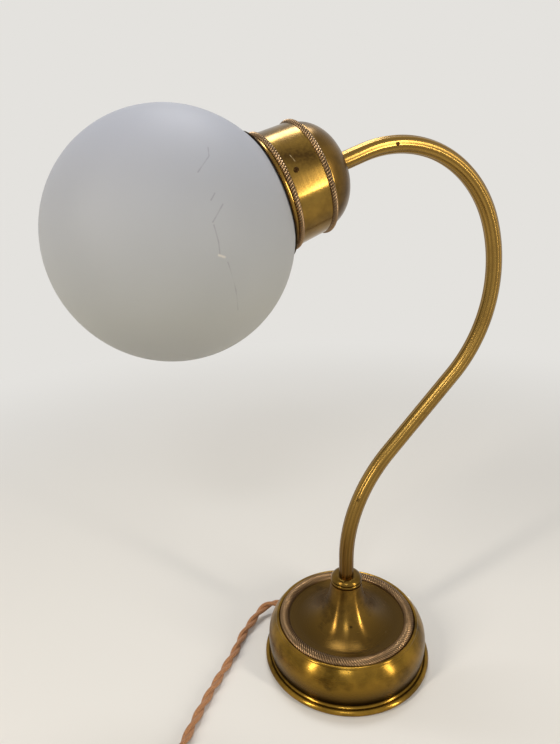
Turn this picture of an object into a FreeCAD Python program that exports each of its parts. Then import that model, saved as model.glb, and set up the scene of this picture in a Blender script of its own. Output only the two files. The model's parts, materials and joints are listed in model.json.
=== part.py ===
import FreeCAD, Part
import math
import os

# A swan-neck table lamp: weighted round base, S-shaped tube, domed gallery and glass globe.
# Millimetres and degrees. Z is up, the origin is the middle of the base on the table,
# the globe hangs over -X and the tube bulges out over +X.

V = FreeCAD.Vector
UP = V(0, 0, 1)
SIDE = V(0, 1, 0)

# Clearances shared by the whole lamp
slip_gap = 0.3
running_gap = 0.08
overrun = 2.0

# Base skirt, spun sheet: rolled foot, waist, full belly, shoulder, and a narrow ridge round the seat
sheet = 1.2
foot_roll_r = 2.5
foot_roll_centre_r = 66.6
foot_roll_lift = 0.6
skirt_start_r = foot_roll_centre_r - foot_roll_r * math.sqrt(1 / 2)
flare_r = 63.9
flare_z = 5.8
waist_r = 63.7
waist_z = 7.2
skirt_belly_r = 65.6
skirt_belly_z = 15.5
skirt_top_r = 65.3
skirt_top_z = 24.5
shoulder_belly_r = 63.3
shoulder_belly_z = 31.0
shoulder_end_r = 59.2
shoulder_end_rise = 0.9
ridge_crest_inset = 1.1
ridge_rise = 2.5
seat_z = 35.4
seat_inner_r = 48.0

# Dish with its trumpet neck
neck_top_z = 71.0
neck_top_r = 12.8
neck_bore_r = 6.4
neck_heading = -88.0
neck_bend_radii = (48.0, 27.0)
neck_bend_turns = (27.0, 58.0)

# Knurled ring on the base, flush with the dish's edge, and the groove before the ridge
base_ring_mid_r = 52.0
base_ring_half_width = 4.2
base_ring_rise = 3.8
ring_groove_w = 0.5
dish_edge_r = base_ring_mid_r + base_ring_half_width

# Collar with two rings
collar_r = 12.6
collar_groove_r = 11.2
collar_ring_h = 3.8
collar_groove_h = 1.0
collar_foot_h = 2.6

# Ballast casting
ballast_r = 44.0
ballast_rim_r = 51.5
ballast_rim_edge_h = 1.5
ballast_rim_slope_h = 4.5
ballast_well_r = 22.0
ballast_well_depth = 12.0
nut_pocket_r = 13.0
nut_pocket_depth = 13.0
wire_channel_w = 11.0
wire_channel_h = 16.0

# Bottom plate, its screws and the felt
felt_r = 61.5
felt_h = 2.0
plate_r = 62.6
plate_h = 1.2
plate_screw_pcd_r = 34.0
plate_screw_r = 2.0
plate_screw_head_r = 3.8
plate_screw_head_h = 1.1
plate_screw_len = 10.0
plate_screw_azimuths = (64.0, 184.0, 304.0)

# Stem tube and its S-shaped centre line
tube_r = 6.0
tube_bore_r = 5.0
tube_foot_z = 56.0
bend_start_z = 93.4
lower_bend_r = 124.1
lower_bend_turn = 45.3
straight_run = 79.2
side_bend_r = 109.4
side_bend_turn = 66.2
top_bend_r = 84.9
head_elevation = 19.4
tube_tail = 21.5
stem_screw_r = 1.3
stem_screw_proud = 0.25
stem_screw_past_crown = 3.7

# Threaded nipples, nuts and washers on the tube
nipple_r = 4.9
nipple_bore_r = 3.6
nipple_foot_z = 8.5
base_nipple_top_z = 84.0
nut_across = 14.0
nut_h = 4.0
washer_r = 10.0
washer_h = 1.2
head_nut_h = 3.0
head_washer_r = 9.5

# Wires in the tube
wire_r = 1.2
wire_spacing = 2.9

# Head, measured along its axis from the globe's centre
globe_r = 75.0
glass_wall = 2.8
globe_neck_r = 33.4
globe_lip_r = 34.7
globe_lip_h = 2.6
globe_neck_end = 82.0
lip_edge_at = 64.4
lip_edge_r = 40.9
lip_root_at = 68.4
front_ring_at = 69.6
ring_half_width = 1.9
ring_rise = 1.5
body_front_r = 36.7
body_rear_r = 35.4
body_rear_at = 97.0
head_sheet = 1.0
flange_depth = 5.0
rear_ring_at = 95.2
dome_foot_r = 34.4
dome_belly_r = 28.2
dome_belly_rise = 12.4
dome_flat_r = 8.0
dome_h = 20.0
globe_screw_at = 76.6
globe_screw_r = 1.6
globe_screw_proud = 0.3
globe_screw_first = 71.0
globe_screw_count = 3

# Lampholder and bulb, on the same axis
head_nipple_len = 24.0
holder_cap_r = 15.5
holder_cap_h = 13.0
holder_cap_bore_r = 12.5
holder_r = 13.6
holder_bore_r = 11.4
holder_len = 30.0
insert_floor_h = 9.0
insert_cup_h = 14.0
contact_r = 2.6
contact_h = 1.6
bulb_base_r = 6.9
bulb_base_len = 17.5
bulb_r = 22.5
bulb_neck_r = 8.0
bulb_neck_len = 14.0
bulb_wall = 1.0

# Push switch through the skirt
switch_azimuth = 10.0
switch_z = 20.0
barrel_r = 5.0
button_r = 4.3
button_travel = 3.0
button_pressed_proud = 1.5
plunger_r = 3.6
bezel_r = 7.2
bezel_h = 2.2
housing_r = 7.4
housing_set_back = 3.4
housing_len = 16.0
housing_wall = 1.6
spring_room = 7.0
spring_r = 2.7
spring_wire_r = 0.3
spring_turns = 5
terminal_r = 1.6
terminal_h = 2.0
terminal_spacing = 6.0

# Cord entry
cord_azimuth = 120.0
cord_exit_z = 12.0
cord_r = 3.5
bush_out_r = 68.5
bush_flange_r = 5.8
bush_flange_h = 1.8
bush_in_h = 4.0
inner_cord_end_r = 24.0
clamp_at_r = 53.5
clamp_w = 22.0
clamp_depth = 6.0
clamp_h = 3.0
clamp_screw_r = 1.5
clamp_screw_head_r = 2.8
clamp_screw_head_h = 1.6
clamp_screw_spacing = 15.0

# Free cord: hand-chosen route from the bush to the coil
cord_route = (
    (-34.25, 59.32, 12.0),
    (-37.4, 64.78, 12.0),
    (-43.29, 68.18, 10.8),
    (-51.28, 67.9, 9.0),
    (-62.73, 60.75, 6.2),
    (-78.66, 47.84, 3.6),
    (-90.0, 32.0, 3.5),
    (-111.0, 10.5, 3.5),
    (-131.5, -12.0, 3.5),
    (-151.0, -36.5, 3.5),
    (-172.0, -62.5, 3.5),
    (-191.0, -87.0, 3.5),
)

# Free cord: from the coil's upper end down to the plug
cord_tail_route = (
    (-181.41, -167.61, 11.3),
    (-170.8, -176.7, 11.3),
    (-157.5, -184.0, 9.6),
    (-143.0, -187.5, 8.0),
    (-129.0, -188.0, 8.0),
)

# An arc takes this share of the shorter run beside it
arc_reach_share = 0.45

# Coil of the put-away length
coil_inner_r = 27.8
coil_pitch = 7.8
coil_layer_h = 7.8
coil_turns_down = 3.0
coil_turns_up = 2.75
coil_lead = 7.0

# Two-pin plug on the cord's end
plug_w = 34.0
plug_len = 36.0
plug_half_h = 8.0
plug_nose_w = 30.0
plug_corner_r = 8.0
plug_edge_r = 4.5
plug_sleeve_r = 7.0
plug_sleeve_len = 9.0
pin_r = 2.0
pin_len = 19.0
pin_root = 6.0
pin_spacing = 18.6
plug_screw_r = 3.0
plug_screw_h = 1.4
plug_screw_back_share = 0.42

OUT = "parts"


def outline(points, closed=True):
    """Edges through (r, z) points; a pair of points is an arc's middle and end."""
    edges = []
    first = last = V(points[0][0], 0, points[0][1])
    for step in points[1:]:
        if isinstance(step[0], tuple):
            mid = V(step[0][0], 0, step[0][1])
            end = V(step[1][0], 0, step[1][1])
            edges.append(Part.Arc(last, mid, end).toShape())
        else:
            end = V(step[0], 0, step[1])
            edges.append(Part.LineSegment(last, end).toShape())
        last = end
    if closed and (last - first).Length > Part.Precision.confusion():
        edges.append(Part.LineSegment(last, first).toShape())
    return Part.Wire(edges)


def turned(points):
    """A solid turned about Z from a closed outline of (r, z) points."""
    return Part.Face(outline(points)).revolve(V(0, 0, 0), UP, 360)


def disc(radius, low, high, bore=None):
    """A round plate or rod between two heights, with an optional bore."""
    body = Part.makeCylinder(radius, high - low, V(0, 0, low))
    if bore is None:
        return body
    hole = Part.makeCylinder(bore, high - low + 2 * overrun, V(0, 0, low - overrun))
    return body.cut(hole)


def hexagon(across, low, height, bore):
    """A hexagon nut on the Z axis with its bore."""
    corner = across / (2 * math.cos(math.pi / 6))
    ring = [V(corner * math.cos(k * math.pi / 3), corner * math.sin(k * math.pi / 3), low) for k in range(6)]
    face = Part.Face(Part.makePolygon(ring + ring[:1]))
    hole = Part.makeCylinder(bore, height + 2 * overrun, V(0, 0, low - overrun))
    return face.extrude(UP * height).cut(hole)


class Pen:
    """Draws tangent lines and arcs in the XZ plane, as edges and as points."""

    def __init__(self, x, z, heading):
        self.x, self.z, self.heading = x, z, heading
        self.edges = []

    def here(self):
        return V(self.x, 0, self.z)

    def direction(self):
        angle = math.radians(self.heading)
        return V(math.cos(angle), 0, math.sin(angle))

    def line(self, length):
        start = self.here()
        end = start + self.direction() * length
        self.edges.append(Part.LineSegment(start, end).toShape())
        self.x, self.z = end.x, end.z

    def arc(self, radius, turn):
        start = self.here()
        sense = 1 if turn > 0 else -1
        normal = V(-self.direction().z, 0, self.direction().x) * sense
        centre = start + normal * radius

        def swung(share):
            angle = math.radians(turn * share)
            arm = start - centre
            return centre + V(arm.x * math.cos(angle) - arm.z * math.sin(angle), 0,
                              arm.x * math.sin(angle) + arm.z * math.cos(angle))

        self.edges.append(Part.Arc(start, swung(1 / 2), swung(1)).toShape())
        end = swung(1)
        self.x, self.z, self.heading = end.x, end.z, self.heading + turn


def tube_along(edges, radius):
    """A round solid bar swept along a path of tangent edges."""
    path = Part.Wire(edges)
    first = path.OrderedEdges[0]
    start = first.valueAt(first.FirstParameter)
    heading = first.tangentAt(first.FirstParameter)
    if first.Orientation == "Reversed":
        start = first.valueAt(first.LastParameter)
        heading = first.tangentAt(first.LastParameter) * -1
    ring = Part.Wire([Part.Circle(start, heading, radius).toShape()])
    return path.makePipeShell([ring], True, False)


def stem_pen(start_z, tail):
    """The stem's centre line from a height in the base to a tail along the head's axis."""
    pen = Pen(0, start_z, 90)
    pen.line(bend_start_z - start_z)
    pen.arc(lower_bend_r, -lower_bend_turn)
    pen.line(straight_run)
    pen.arc(side_bend_r, side_bend_turn)
    pen.arc(top_bend_r, 180 + head_elevation - pen.heading)
    pen.line(tail)
    return pen


tube_end = stem_pen(tube_foot_z, tube_tail)
head_axis = tube_end.direction() * -1
dome_top_at = body_rear_at + dome_h
globe_centre = tube_end.here() - head_axis * dome_top_at
HEAD = FreeCAD.Placement(globe_centre, FreeCAD.Rotation(UP, head_axis))


def on_head(shape):
    """Moves a piece drawn about Z, with the globe's centre at zero, to its place."""
    shape = shape.copy()
    shape.Placement = HEAD.multiply(shape.Placement)
    return shape


def radial_placement(azimuth, tilt, radius, height):
    """A frame whose Z points out of the base at an azimuth, tilted up, at a radius and height."""
    angle, lean = math.radians(azimuth), math.radians(tilt)
    out = V(math.cos(angle) * math.cos(lean), math.sin(angle) * math.cos(lean), math.sin(lean))
    place = V(math.cos(angle) * radius, math.sin(angle) * radius, height)
    across = V(-math.sin(angle), math.cos(angle), 0)
    return FreeCAD.Placement(place, FreeCAD.Rotation(across, out.cross(across), out, "ZXY"))


def placed(shape, placement):
    shape = shape.copy()
    shape.Placement = placement.multiply(shape.Placement)
    return shape


def skirt_circle():
    """Centre and radius of the arc that the skirt's outside follows from waist to shoulder, in (r, z)."""
    waist = V(waist_r, 0, waist_z)
    belly = V(skirt_belly_r, 0, skirt_belly_z)
    circle = Part.Arc(waist, belly, V(skirt_top_r, 0, skirt_top_z)).toShape().Curve
    return circle.Center, circle.Radius


def skirt_at(height):
    """Radius of the skirt's outside at a height, and how far it leans back there in degrees."""
    centre, radius = skirt_circle()
    rise = height - centre.z
    return centre.x + math.sqrt(radius ** 2 - rise ** 2), math.degrees(math.asin(rise / radius))


switch_surface_r, switch_tilt = skirt_at(switch_z)
SWITCH = radial_placement(switch_azimuth, switch_tilt, switch_surface_r, switch_z)
exit_surface_r = skirt_at(cord_exit_z)[0]
EXIT = radial_placement(cord_azimuth, 0, exit_surface_r, cord_exit_z)


# Base
def base_skirt():
    """One spun sheet from the seat over ridge, shoulder, belly and waist to the rolled foot."""
    roll_z = foot_roll_lift + foot_roll_r
    roll_side = foot_roll_centre_r - skirt_start_r
    seat_low = seat_z - sheet
    ridge_crest = (shoulder_end_r - ridge_crest_inset, seat_z + ridge_rise)
    shell = turned([
        (seat_inner_r, seat_z),
        (dish_edge_r + ring_groove_w, seat_z),
        (ridge_crest, (shoulder_end_r, seat_z + shoulder_end_rise)),
        ((shoulder_belly_r, shoulder_belly_z), (skirt_top_r, skirt_top_z)),
        ((skirt_belly_r, skirt_belly_z), (waist_r, waist_z)),
        ((flare_r, flare_z), (skirt_start_r, roll_z + roll_side)),
        ((foot_roll_centre_r + foot_roll_r, roll_z), (foot_roll_centre_r, foot_roll_lift)),
        ((skirt_start_r, roll_z - roll_side), (foot_roll_centre_r - foot_roll_r, roll_z)),
        (waist_r - sheet, waist_z),
        ((skirt_belly_r - sheet, skirt_belly_z), (skirt_top_r - sheet, skirt_top_z)),
        ((shoulder_belly_r - sheet, shoulder_belly_z - sheet / 2), (shoulder_end_r, seat_low)),
        (seat_inner_r, seat_low),
    ])
    hole_r = barrel_r + slip_gap
    switch_hole = placed(Part.makeCylinder(hole_r, housing_len, V(0, 0, -housing_len / 2)), SWITCH)
    cord_hole_r = cord_r + sheet + slip_gap
    cord_hole = placed(Part.makeCylinder(cord_hole_r, housing_len, V(0, 0, -housing_len / 2)), EXIT)
    return shell.cut(switch_hole).cut(cord_hole)


def neck_curve(inset):
    """Points of the trumpet from neck to dish, moved inwards by an inset."""
    points = []
    pen = Pen(neck_top_r, neck_top_z, neck_heading)
    for radius, turn in zip(neck_bend_radii, neck_bend_turns):
        for part in (1 / 2, 1 / 2):
            points.append(pen.here() + V(pen.direction().z, 0, -pen.direction().x) * inset)
            pen.arc(radius, turn * part)
    points.append(pen.here() + V(pen.direction().z, 0, -pen.direction().x) * inset)
    return [(point.x, point.z) for point in points]


def dish_rim_z():
    """Height of the dish's flat rim, which lies on the skirt's seat."""
    return seat_z + sheet


def base_dish():
    outer = neck_curve(0)
    inner = neck_curve(sheet)
    rim = dish_rim_z()
    inner_start = base_ring_mid_r - base_ring_half_width - slip_gap
    return turned([
        (neck_bore_r, neck_top_z),
        outer[0],
        (outer[1], outer[2]),
        (outer[3], outer[4]),
        (inner_start, rim),
        (dish_edge_r, rim),
        (dish_edge_r, seat_z),
        (inner_start, seat_z),
        inner[4],
        (inner[3], inner[2]),
        (inner[1], inner[0]),
        (inner[0][0], neck_top_z - sheet),
        (neck_bore_r, neck_top_z - sheet),
    ])


def knurled_base_ring():
    rim = dish_rim_z()
    low = base_ring_mid_r - base_ring_half_width
    high = base_ring_mid_r + base_ring_half_width
    return turned([(low, rim), ((base_ring_mid_r, rim + base_ring_rise), (high, rim))])


def collar_top_z():
    return neck_top_z + collar_foot_h + collar_groove_h + collar_ring_h


def base_collar():
    foot_z = neck_top_z + collar_foot_h
    ring_z = foot_z + collar_groove_h
    bore = tube_r + running_gap
    bulge = collar_groove_h / 2
    return turned([
        (bore, neck_top_z),
        (collar_r - bulge, neck_top_z),
        ((collar_r, (neck_top_z + foot_z) / 2), (collar_r - bulge, foot_z)),
        (collar_groove_r, foot_z),
        (collar_groove_r, ring_z),
        (collar_r - bulge, ring_z),
        ((collar_r, ring_z + collar_ring_h / 2), (collar_r - bulge, collar_top_z() - bulge)),
        (bore + bulge, collar_top_z()),
        (bore, collar_top_z()),
    ])


def ballast_weight():
    low = felt_h + plate_h
    high = seat_z - sheet
    rim_z = high - ballast_rim_edge_h
    body = turned([
        (nipple_r + slip_gap, low),
        (ballast_r, low),
        (ballast_r, rim_z - ballast_rim_slope_h),
        (ballast_rim_r, rim_z),
        (ballast_rim_r, high),
        (ballast_well_r, high),
        (ballast_well_r, high - ballast_well_depth),
        (nipple_r + slip_gap, high - ballast_well_depth),
    ])
    body = body.cut(Part.makeCylinder(nut_pocket_r, nut_pocket_depth + overrun, V(0, 0, low - overrun)))
    for azimuth in (switch_azimuth, cord_azimuth):
        channel = Part.makeBox(ballast_rim_r + overrun, wire_channel_w, wire_channel_h + overrun,
                               V(0, -wire_channel_w / 2, low - overrun))
        channel.rotate(V(0, 0, 0), UP, azimuth)
        body = body.cut(channel)
    for azimuth in plate_screw_azimuths:
        body = body.cut(plate_screw_shape(azimuth, 0))
    return body


def plate_screw_shape(azimuth, gap):
    """A countersunk screw, head down, or with a gap the hole for it."""
    head_low = felt_h
    neck = head_low + plate_screw_head_h
    screw = turned([
        (0, head_low),
        (plate_screw_head_r + gap, head_low),
        (plate_screw_r + gap, neck),
        (plate_screw_r + gap, head_low + plate_screw_len),
        (0, head_low + plate_screw_len),
    ])
    angle = math.radians(azimuth)
    screw.translate(V(plate_screw_pcd_r * math.cos(angle), plate_screw_pcd_r * math.sin(angle), 0))
    return screw


def bottom_plate():
    plate = disc(plate_r, felt_h, felt_h + plate_h)
    for azimuth in plate_screw_azimuths:
        plate = plate.cut(plate_screw_shape(azimuth, 0))
    return plate


def bottom_plate_screws():
    return Part.makeCompound([plate_screw_shape(azimuth, 0) for azimuth in plate_screw_azimuths])


def felt_pad():
    return disc(felt_r, 0, felt_h)


# Stem
def stem_screw():
    """A small screw through the tube's side, just past the crown of the top bend."""
    pen = Pen(0, bend_start_z, 90)
    pen.arc(lower_bend_r, -lower_bend_turn)
    pen.line(straight_run)
    pen.arc(side_bend_r, side_bend_turn)
    pen.arc(top_bend_r, 180 + stem_screw_past_crown - pen.heading)
    out = SIDE * -1
    length = tube_r - tube_bore_r + stem_screw_proud
    return Part.makeCylinder(stem_screw_r, length, pen.here() + out * tube_bore_r, out)


def stem_tube():
    outer = tube_along(stem_pen(tube_foot_z, tube_tail).edges, tube_r)
    bore = tube_along(stem_pen(tube_foot_z, tube_tail).edges, tube_bore_r)
    return outer.cut(bore).cut(stem_screw())


def stem_wires():
    reach = dome_top_at - holder_top_at() + tube_tail
    wires = []
    for side in (-1, 1):
        bar = tube_along(stem_pen(nipple_foot_z, reach).edges, wire_r)
        bar.translate(SIDE * (side * wire_spacing / 2))
        wires.append(bar)
    return Part.makeCompound(wires)


def base_nipple():
    return disc(nipple_r, nipple_foot_z, base_nipple_top_z, nipple_bore_r)


def pocket_roof_z():
    return felt_h + plate_h + nut_pocket_depth


def nipple_washer():
    return disc(washer_r, pocket_roof_z() - washer_h, pocket_roof_z(), nipple_r + running_gap)


def nipple_nut():
    low = pocket_roof_z() - washer_h - nut_h
    return hexagon(nut_across, low, nut_h, nipple_r + running_gap)


# Head
def gallery_body():
    """The flared lip and the body, a spun sheet with an inward flange at its rear."""
    wall = head_sheet
    flange_low = body_rear_at - wall
    shape = turned([
        (lip_edge_r, lip_edge_at),
        ((body_front_r + wall / 2, (lip_edge_at + lip_root_at) / 2), (body_front_r, lip_root_at)),
        (body_rear_r, body_rear_at),
        (body_rear_r - flange_depth, body_rear_at),
        (body_rear_r - flange_depth, flange_low),
        (body_rear_r - wall, flange_low),
        (body_front_r - wall, lip_root_at),
        ((body_front_r - wall / 2, (lip_edge_at + lip_root_at) / 2), (lip_edge_r - wall, lip_edge_at)),
    ])
    return on_head(shape.cut(globe_screw_cutters()))


def globe_screw_pieces(radius, low, high):
    pieces = []
    for k in range(globe_screw_count):
        angle = math.radians(globe_screw_first + 360 * k / globe_screw_count)
        out = V(-math.cos(angle), -math.sin(angle), 0)
        pieces.append(Part.makeCylinder(radius, high - low, V(0, 0, globe_screw_at) + out * low, out))
    return pieces


def globe_screw_cutters():
    return Part.makeCompound(globe_screw_pieces(globe_screw_r, globe_neck_r - overrun, body_front_r + overrun))


def globe_screws():
    low = globe_neck_r + slip_gap
    return on_head(Part.makeCompound(globe_screw_pieces(globe_screw_r, low, body_front_r + globe_screw_proud)))


def body_r_at(at):
    share = (at - lip_root_at) / (body_rear_at - lip_root_at)
    return body_front_r + (body_rear_r - body_front_r) * share


def bead_on_body(at):
    """A bead whose flat side follows the body's slight taper."""
    low, high = at - ring_half_width, at + ring_half_width
    return on_head(turned([(body_r_at(low), low), ((body_r_at(at) + ring_rise, at), (body_r_at(high), high))]))


def knurled_ring_front():
    return bead_on_body(front_ring_at + ring_half_width / 4)


def knurled_ring_rear():
    return bead_on_body(rear_ring_at - ring_half_width / 4)


def dome_cap():
    """The rear dome: a bulged sheet with a flat crown that takes the tube's end."""
    inset = head_sheet * math.sqrt(1 / 2)
    belly_at = body_rear_at + dome_belly_rise
    bore = nipple_r + running_gap
    return on_head(turned([
        (dome_foot_r, body_rear_at),
        ((dome_belly_r, belly_at), (dome_flat_r, dome_top_at)),
        (bore, dome_top_at),
        (bore, crown_at()),
        (dome_flat_r, crown_at()),
        ((dome_belly_r - inset, belly_at - inset), (dome_foot_r - head_sheet, body_rear_at)),
    ]))


def glass_globe():
    neck_at = math.sqrt(globe_r ** 2 - globe_neck_r ** 2)
    inner_r = globe_r - glass_wall
    inner_neck_r = globe_neck_r - glass_wall
    inner_neck_at = math.sqrt(inner_r ** 2 - inner_neck_r ** 2)
    lip_low = globe_neck_end - globe_lip_h
    shape = turned([
        (0, -globe_r),
        ((globe_r, 0), (globe_neck_r, neck_at)),
        (globe_neck_r, lip_low),
        (globe_lip_r, lip_low + globe_lip_h / 2),
        (globe_lip_r, globe_neck_end),
        (inner_neck_r, globe_neck_end),
        (inner_neck_r, inner_neck_at),
        ((inner_r, 0), (0, -inner_r)),
    ])
    return on_head(shape)


def crown_at():
    """The dome's inner crown, which the lock washer lies under."""
    return dome_top_at - head_sheet


def head_washer():
    return on_head(disc(head_washer_r, crown_at() - washer_h, crown_at(), nipple_r + running_gap))


def head_lock_nut():
    low = crown_at() - washer_h - head_nut_h
    return on_head(hexagon(nut_across, low, head_nut_h, nipple_r + running_gap))


def holder_top_at():
    return crown_at() - washer_h - head_nut_h


def head_nipple():
    low = holder_top_at() - holder_cap_h / 2
    return on_head(disc(nipple_r, low, low + head_nipple_len, nipple_bore_r))


def holder_cap():
    high = holder_top_at()
    low = high - holder_cap_h
    roof = high - holder_cap_h / 2
    chamfer = holder_cap_h / 4
    return on_head(turned([
        (holder_cap_bore_r, low),
        (holder_cap_r, low),
        (holder_cap_r, high - chamfer),
        (holder_cap_r - chamfer, high),
        (nipple_r + running_gap, high),
        (nipple_r + running_gap, roof),
        (holder_cap_bore_r, roof),
    ]))


def holder_sleeve():
    """The lampholder's outer sleeve, shouldered up into the cap."""
    high = holder_top_at() - holder_cap_h
    return on_head(disc(holder_r, high - holder_len, high, holder_bore_r))


def insert_face_at():
    return holder_top_at() - holder_cap_h - insert_floor_h


def holder_insert():
    """The ceramic insert: a floor with two wire holes, and the cup that the bulb's cap turns into."""
    high = holder_top_at() - holder_cap_h
    outer = holder_bore_r - running_gap
    cup = bulb_base_r + slip_gap
    body = turned([
        (0, high),
        (outer, high),
        (outer, insert_face_at() - insert_cup_h),
        (cup, insert_face_at() - insert_cup_h),
        (cup, insert_face_at()),
        (0, insert_face_at()),
    ])
    holes = [Part.makeCylinder(wire_r + slip_gap, insert_floor_h + 2 * overrun,
                               V(0, side * wire_spacing / 2, insert_face_at() - overrun)) for side in (-1, 1)]
    return on_head(body.cut(Part.makeCompound(holes)))


def holder_contact():
    return on_head(disc(contact_r, insert_face_at() - contact_h, insert_face_at()))


def bulb_foot_at():
    return insert_face_at() - contact_h


def bulb_base():
    high = bulb_foot_at()
    tip = contact_r
    return on_head(turned([
        (0, high),
        (tip, high),
        (bulb_base_r, high - tip),
        (bulb_base_r, high - bulb_base_len),
        (0, high - bulb_base_len),
    ]))


def bulb_glass():
    high = bulb_foot_at() - bulb_base_len
    centre = high - bulb_neck_len - bulb_r
    join = centre + math.sqrt(bulb_r ** 2 - bulb_neck_r ** 2)
    inner = bulb_r - bulb_wall
    inner_neck = bulb_neck_r - bulb_wall
    inner_join = centre + math.sqrt(inner ** 2 - inner_neck ** 2)
    return on_head(turned([
        (0, centre - bulb_r),
        ((bulb_r, centre), (bulb_neck_r, join)),
        (bulb_neck_r, high),
        (0, high),
        (0, high - bulb_wall),
        (inner_neck, high - bulb_wall),
        (inner_neck, inner_join),
        ((inner, centre), (0, centre - inner)),
    ]))


# Switch
def housing_back():
    return -housing_set_back - housing_len


def housing_floor():
    """The cavity's closed end, which the spring stands on."""
    return housing_back() + housing_wall


def plunger_back():
    return housing_floor() + spring_room


def switch_housing():
    """Threaded barrel and housing in one, hollow for the plunger and spring."""
    bore = button_r + running_gap
    return placed(turned([
        (bore, bezel_h),
        (barrel_r, bezel_h),
        (barrel_r, -housing_set_back),
        (housing_r, -housing_set_back),
        (housing_r, housing_back()),
        (0, housing_back()),
        (0, housing_floor()),
        (bore, housing_floor()),
    ]), SWITCH)


def switch_bezel():
    bulge = bezel_h / 3
    seat = sheet / 2
    return placed(turned([
        (barrel_r + running_gap, seat),
        (bezel_r, seat),
        (bezel_r, bezel_h - bulge + seat),
        (bezel_r - bulge, bezel_h),
        (barrel_r + running_gap, bezel_h),
    ]), SWITCH)


def switch_button():
    """The button with its plunger, standing out by its travel and a little more."""
    top = bezel_h + button_travel + button_pressed_proud
    crown = button_r / 3
    edge = top - crown
    sphere_r = (button_r ** 2 + crown ** 2) / (2 * crown)
    half_spread = math.asin(button_r / sphere_r) / 2
    middle = (sphere_r * math.sin(half_spread), top - sphere_r * (1 - math.cos(half_spread)))
    return placed(turned([
        (0, plunger_back()),
        (plunger_r, plunger_back()),
        (plunger_r, 0),
        (button_r, 0),
        (button_r, edge),
        (middle, (0, top)),
    ]), SWITCH)


def switch_spring():
    """A coil spring as one helix between the housing's closed end and the plunger."""
    length = spring_room - 2 * slip_gap
    pitch = (length - 2 * spring_wire_r) / spring_turns
    helix = Part.makeHelix(pitch, pitch * spring_turns, spring_r)
    heading = V(0, 1, pitch / (2 * math.pi * spring_r))
    ring = Part.Wire([Part.Circle(V(spring_r, 0, 0), heading, spring_wire_r).toShape()])
    coil = Part.Wire(helix).makePipeShell([ring], True, True)
    coil.translate(V(0, 0, housing_floor() + slip_gap + spring_wire_r))
    return placed(coil, SWITCH)


def switch_terminals():
    screws = []
    for side in (-1, 1):
        start = V(side * terminal_spacing / 2, 0, housing_back() - terminal_h)
        screws.append(Part.makeCylinder(terminal_r, terminal_h, start))
    return placed(Part.makeCompound(screws), SWITCH)


# Cord entry
def exit_out():
    """Distance from the EXIT frame's origin to the bush's outer face."""
    return bush_out_r - exit_surface_r


def cord_bush():
    """A grommet whose flange clears the skirt's belly, which stands out further than the exit does."""
    inside = -sheet - slip_gap
    flange_low = skirt_belly_r - exit_surface_r + slip_gap
    shank_r = cord_r + sheet
    bore = cord_r + running_gap
    return placed(turned([
        (bore, inside - bush_in_h),
        (shank_r, inside - bush_in_h),
        (shank_r, flange_low),
        (bush_flange_r, flange_low),
        (bush_flange_r, flange_low + bush_flange_h),
        (bore + sheet / 2, exit_out()),
        (bore, exit_out()),
    ]), EXIT)


def inner_cord():
    """The cord inside the base, from the bush's mouth to the ballast's channel."""
    length = bush_out_r - inner_cord_end_r
    return placed(Part.makeCylinder(cord_r, length, V(0, 0, exit_out() - length)), EXIT)


def clamp_frame():
    """Origin on the cord's axis at the clamp, X along the cord, Z up."""
    angle = math.radians(cord_azimuth)
    place = V(math.cos(angle) * clamp_at_r, math.sin(angle) * clamp_at_r, cord_exit_z)
    return FreeCAD.Placement(place, FreeCAD.Rotation(UP, cord_azimuth))


def clamp_screw_holes(radius):
    low = felt_h + plate_h - cord_exit_z
    high = cord_r + clamp_h
    return Part.makeCompound([
        Part.makeCylinder(radius, high - low, V(0, side * clamp_screw_spacing / 2, low)) for side in (-1, 1)])


def clamp_jaw(low, high):
    block = Part.makeBox(clamp_depth, clamp_w, high - low, V(-clamp_depth / 2, -clamp_w / 2, low))
    groove = Part.makeCylinder(cord_r + running_gap, clamp_depth + 2 * overrun,
                               V(-clamp_depth / 2 - overrun, 0, 0), V(1, 0, 0))
    return placed(block.cut(groove).cut(clamp_screw_holes(clamp_screw_r)), clamp_frame())


def cord_clamp_saddle():
    return clamp_jaw(felt_h + plate_h - cord_exit_z, -slip_gap)


def cord_clamp_bar():
    return clamp_jaw(slip_gap, cord_r + clamp_h)


def cord_clamp_screws():
    screws = []
    low = felt_h + plate_h - cord_exit_z
    high = cord_r + clamp_h
    for side in (-1, 1):
        place = V(0, side * clamp_screw_spacing / 2, 0)
        screw = turned([
            (0, low), (clamp_screw_r, low), (clamp_screw_r, high), (clamp_screw_head_r, high),
            (clamp_screw_head_r, high + clamp_screw_head_h), (0, high + clamp_screw_head_h)])
        screw.translate(place)
        screws.append(screw)
    return placed(Part.makeCompound(screws), clamp_frame())


# Free cord
def arc_between(start, corner, end):
    """The arc tangent to both legs of a corner, its ends equally far from the corner."""
    middle = (start + end) * (1 / 2)
    half_chord = (end - start).Length / 2
    rise = corner - middle
    lean = math.acos(min(1, half_chord / (corner - start).Length))
    return Part.Arc(start, middle + rise.normalize() * (half_chord * math.tan(lean / 2)), end).toShape()


def rounded_route(points):
    """Straight runs joined by tangent arcs, with the radii of the arcs."""
    edges, radii = [], []
    corners = [V(*point) for point in points]
    last = corners[0]
    for before, corner, after in zip(corners, corners[1:], corners[2:]):
        leg_in, leg_out = corner - before, after - corner
        reach = min(leg_in.Length, leg_out.Length) * arc_reach_share
        turn = leg_in.getAngle(leg_out)
        start = corner - leg_in.normalize() * reach
        end = corner + leg_out.normalize() * reach
        edges.append(Part.LineSegment(last, start).toShape())
        edges.append(arc_between(start, corner, end))
        radii.append(reach / math.tan(turn / 2))
        last = end
    edges.append(Part.LineSegment(last, corners[-1]).toShape())
    return edges, radii


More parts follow.
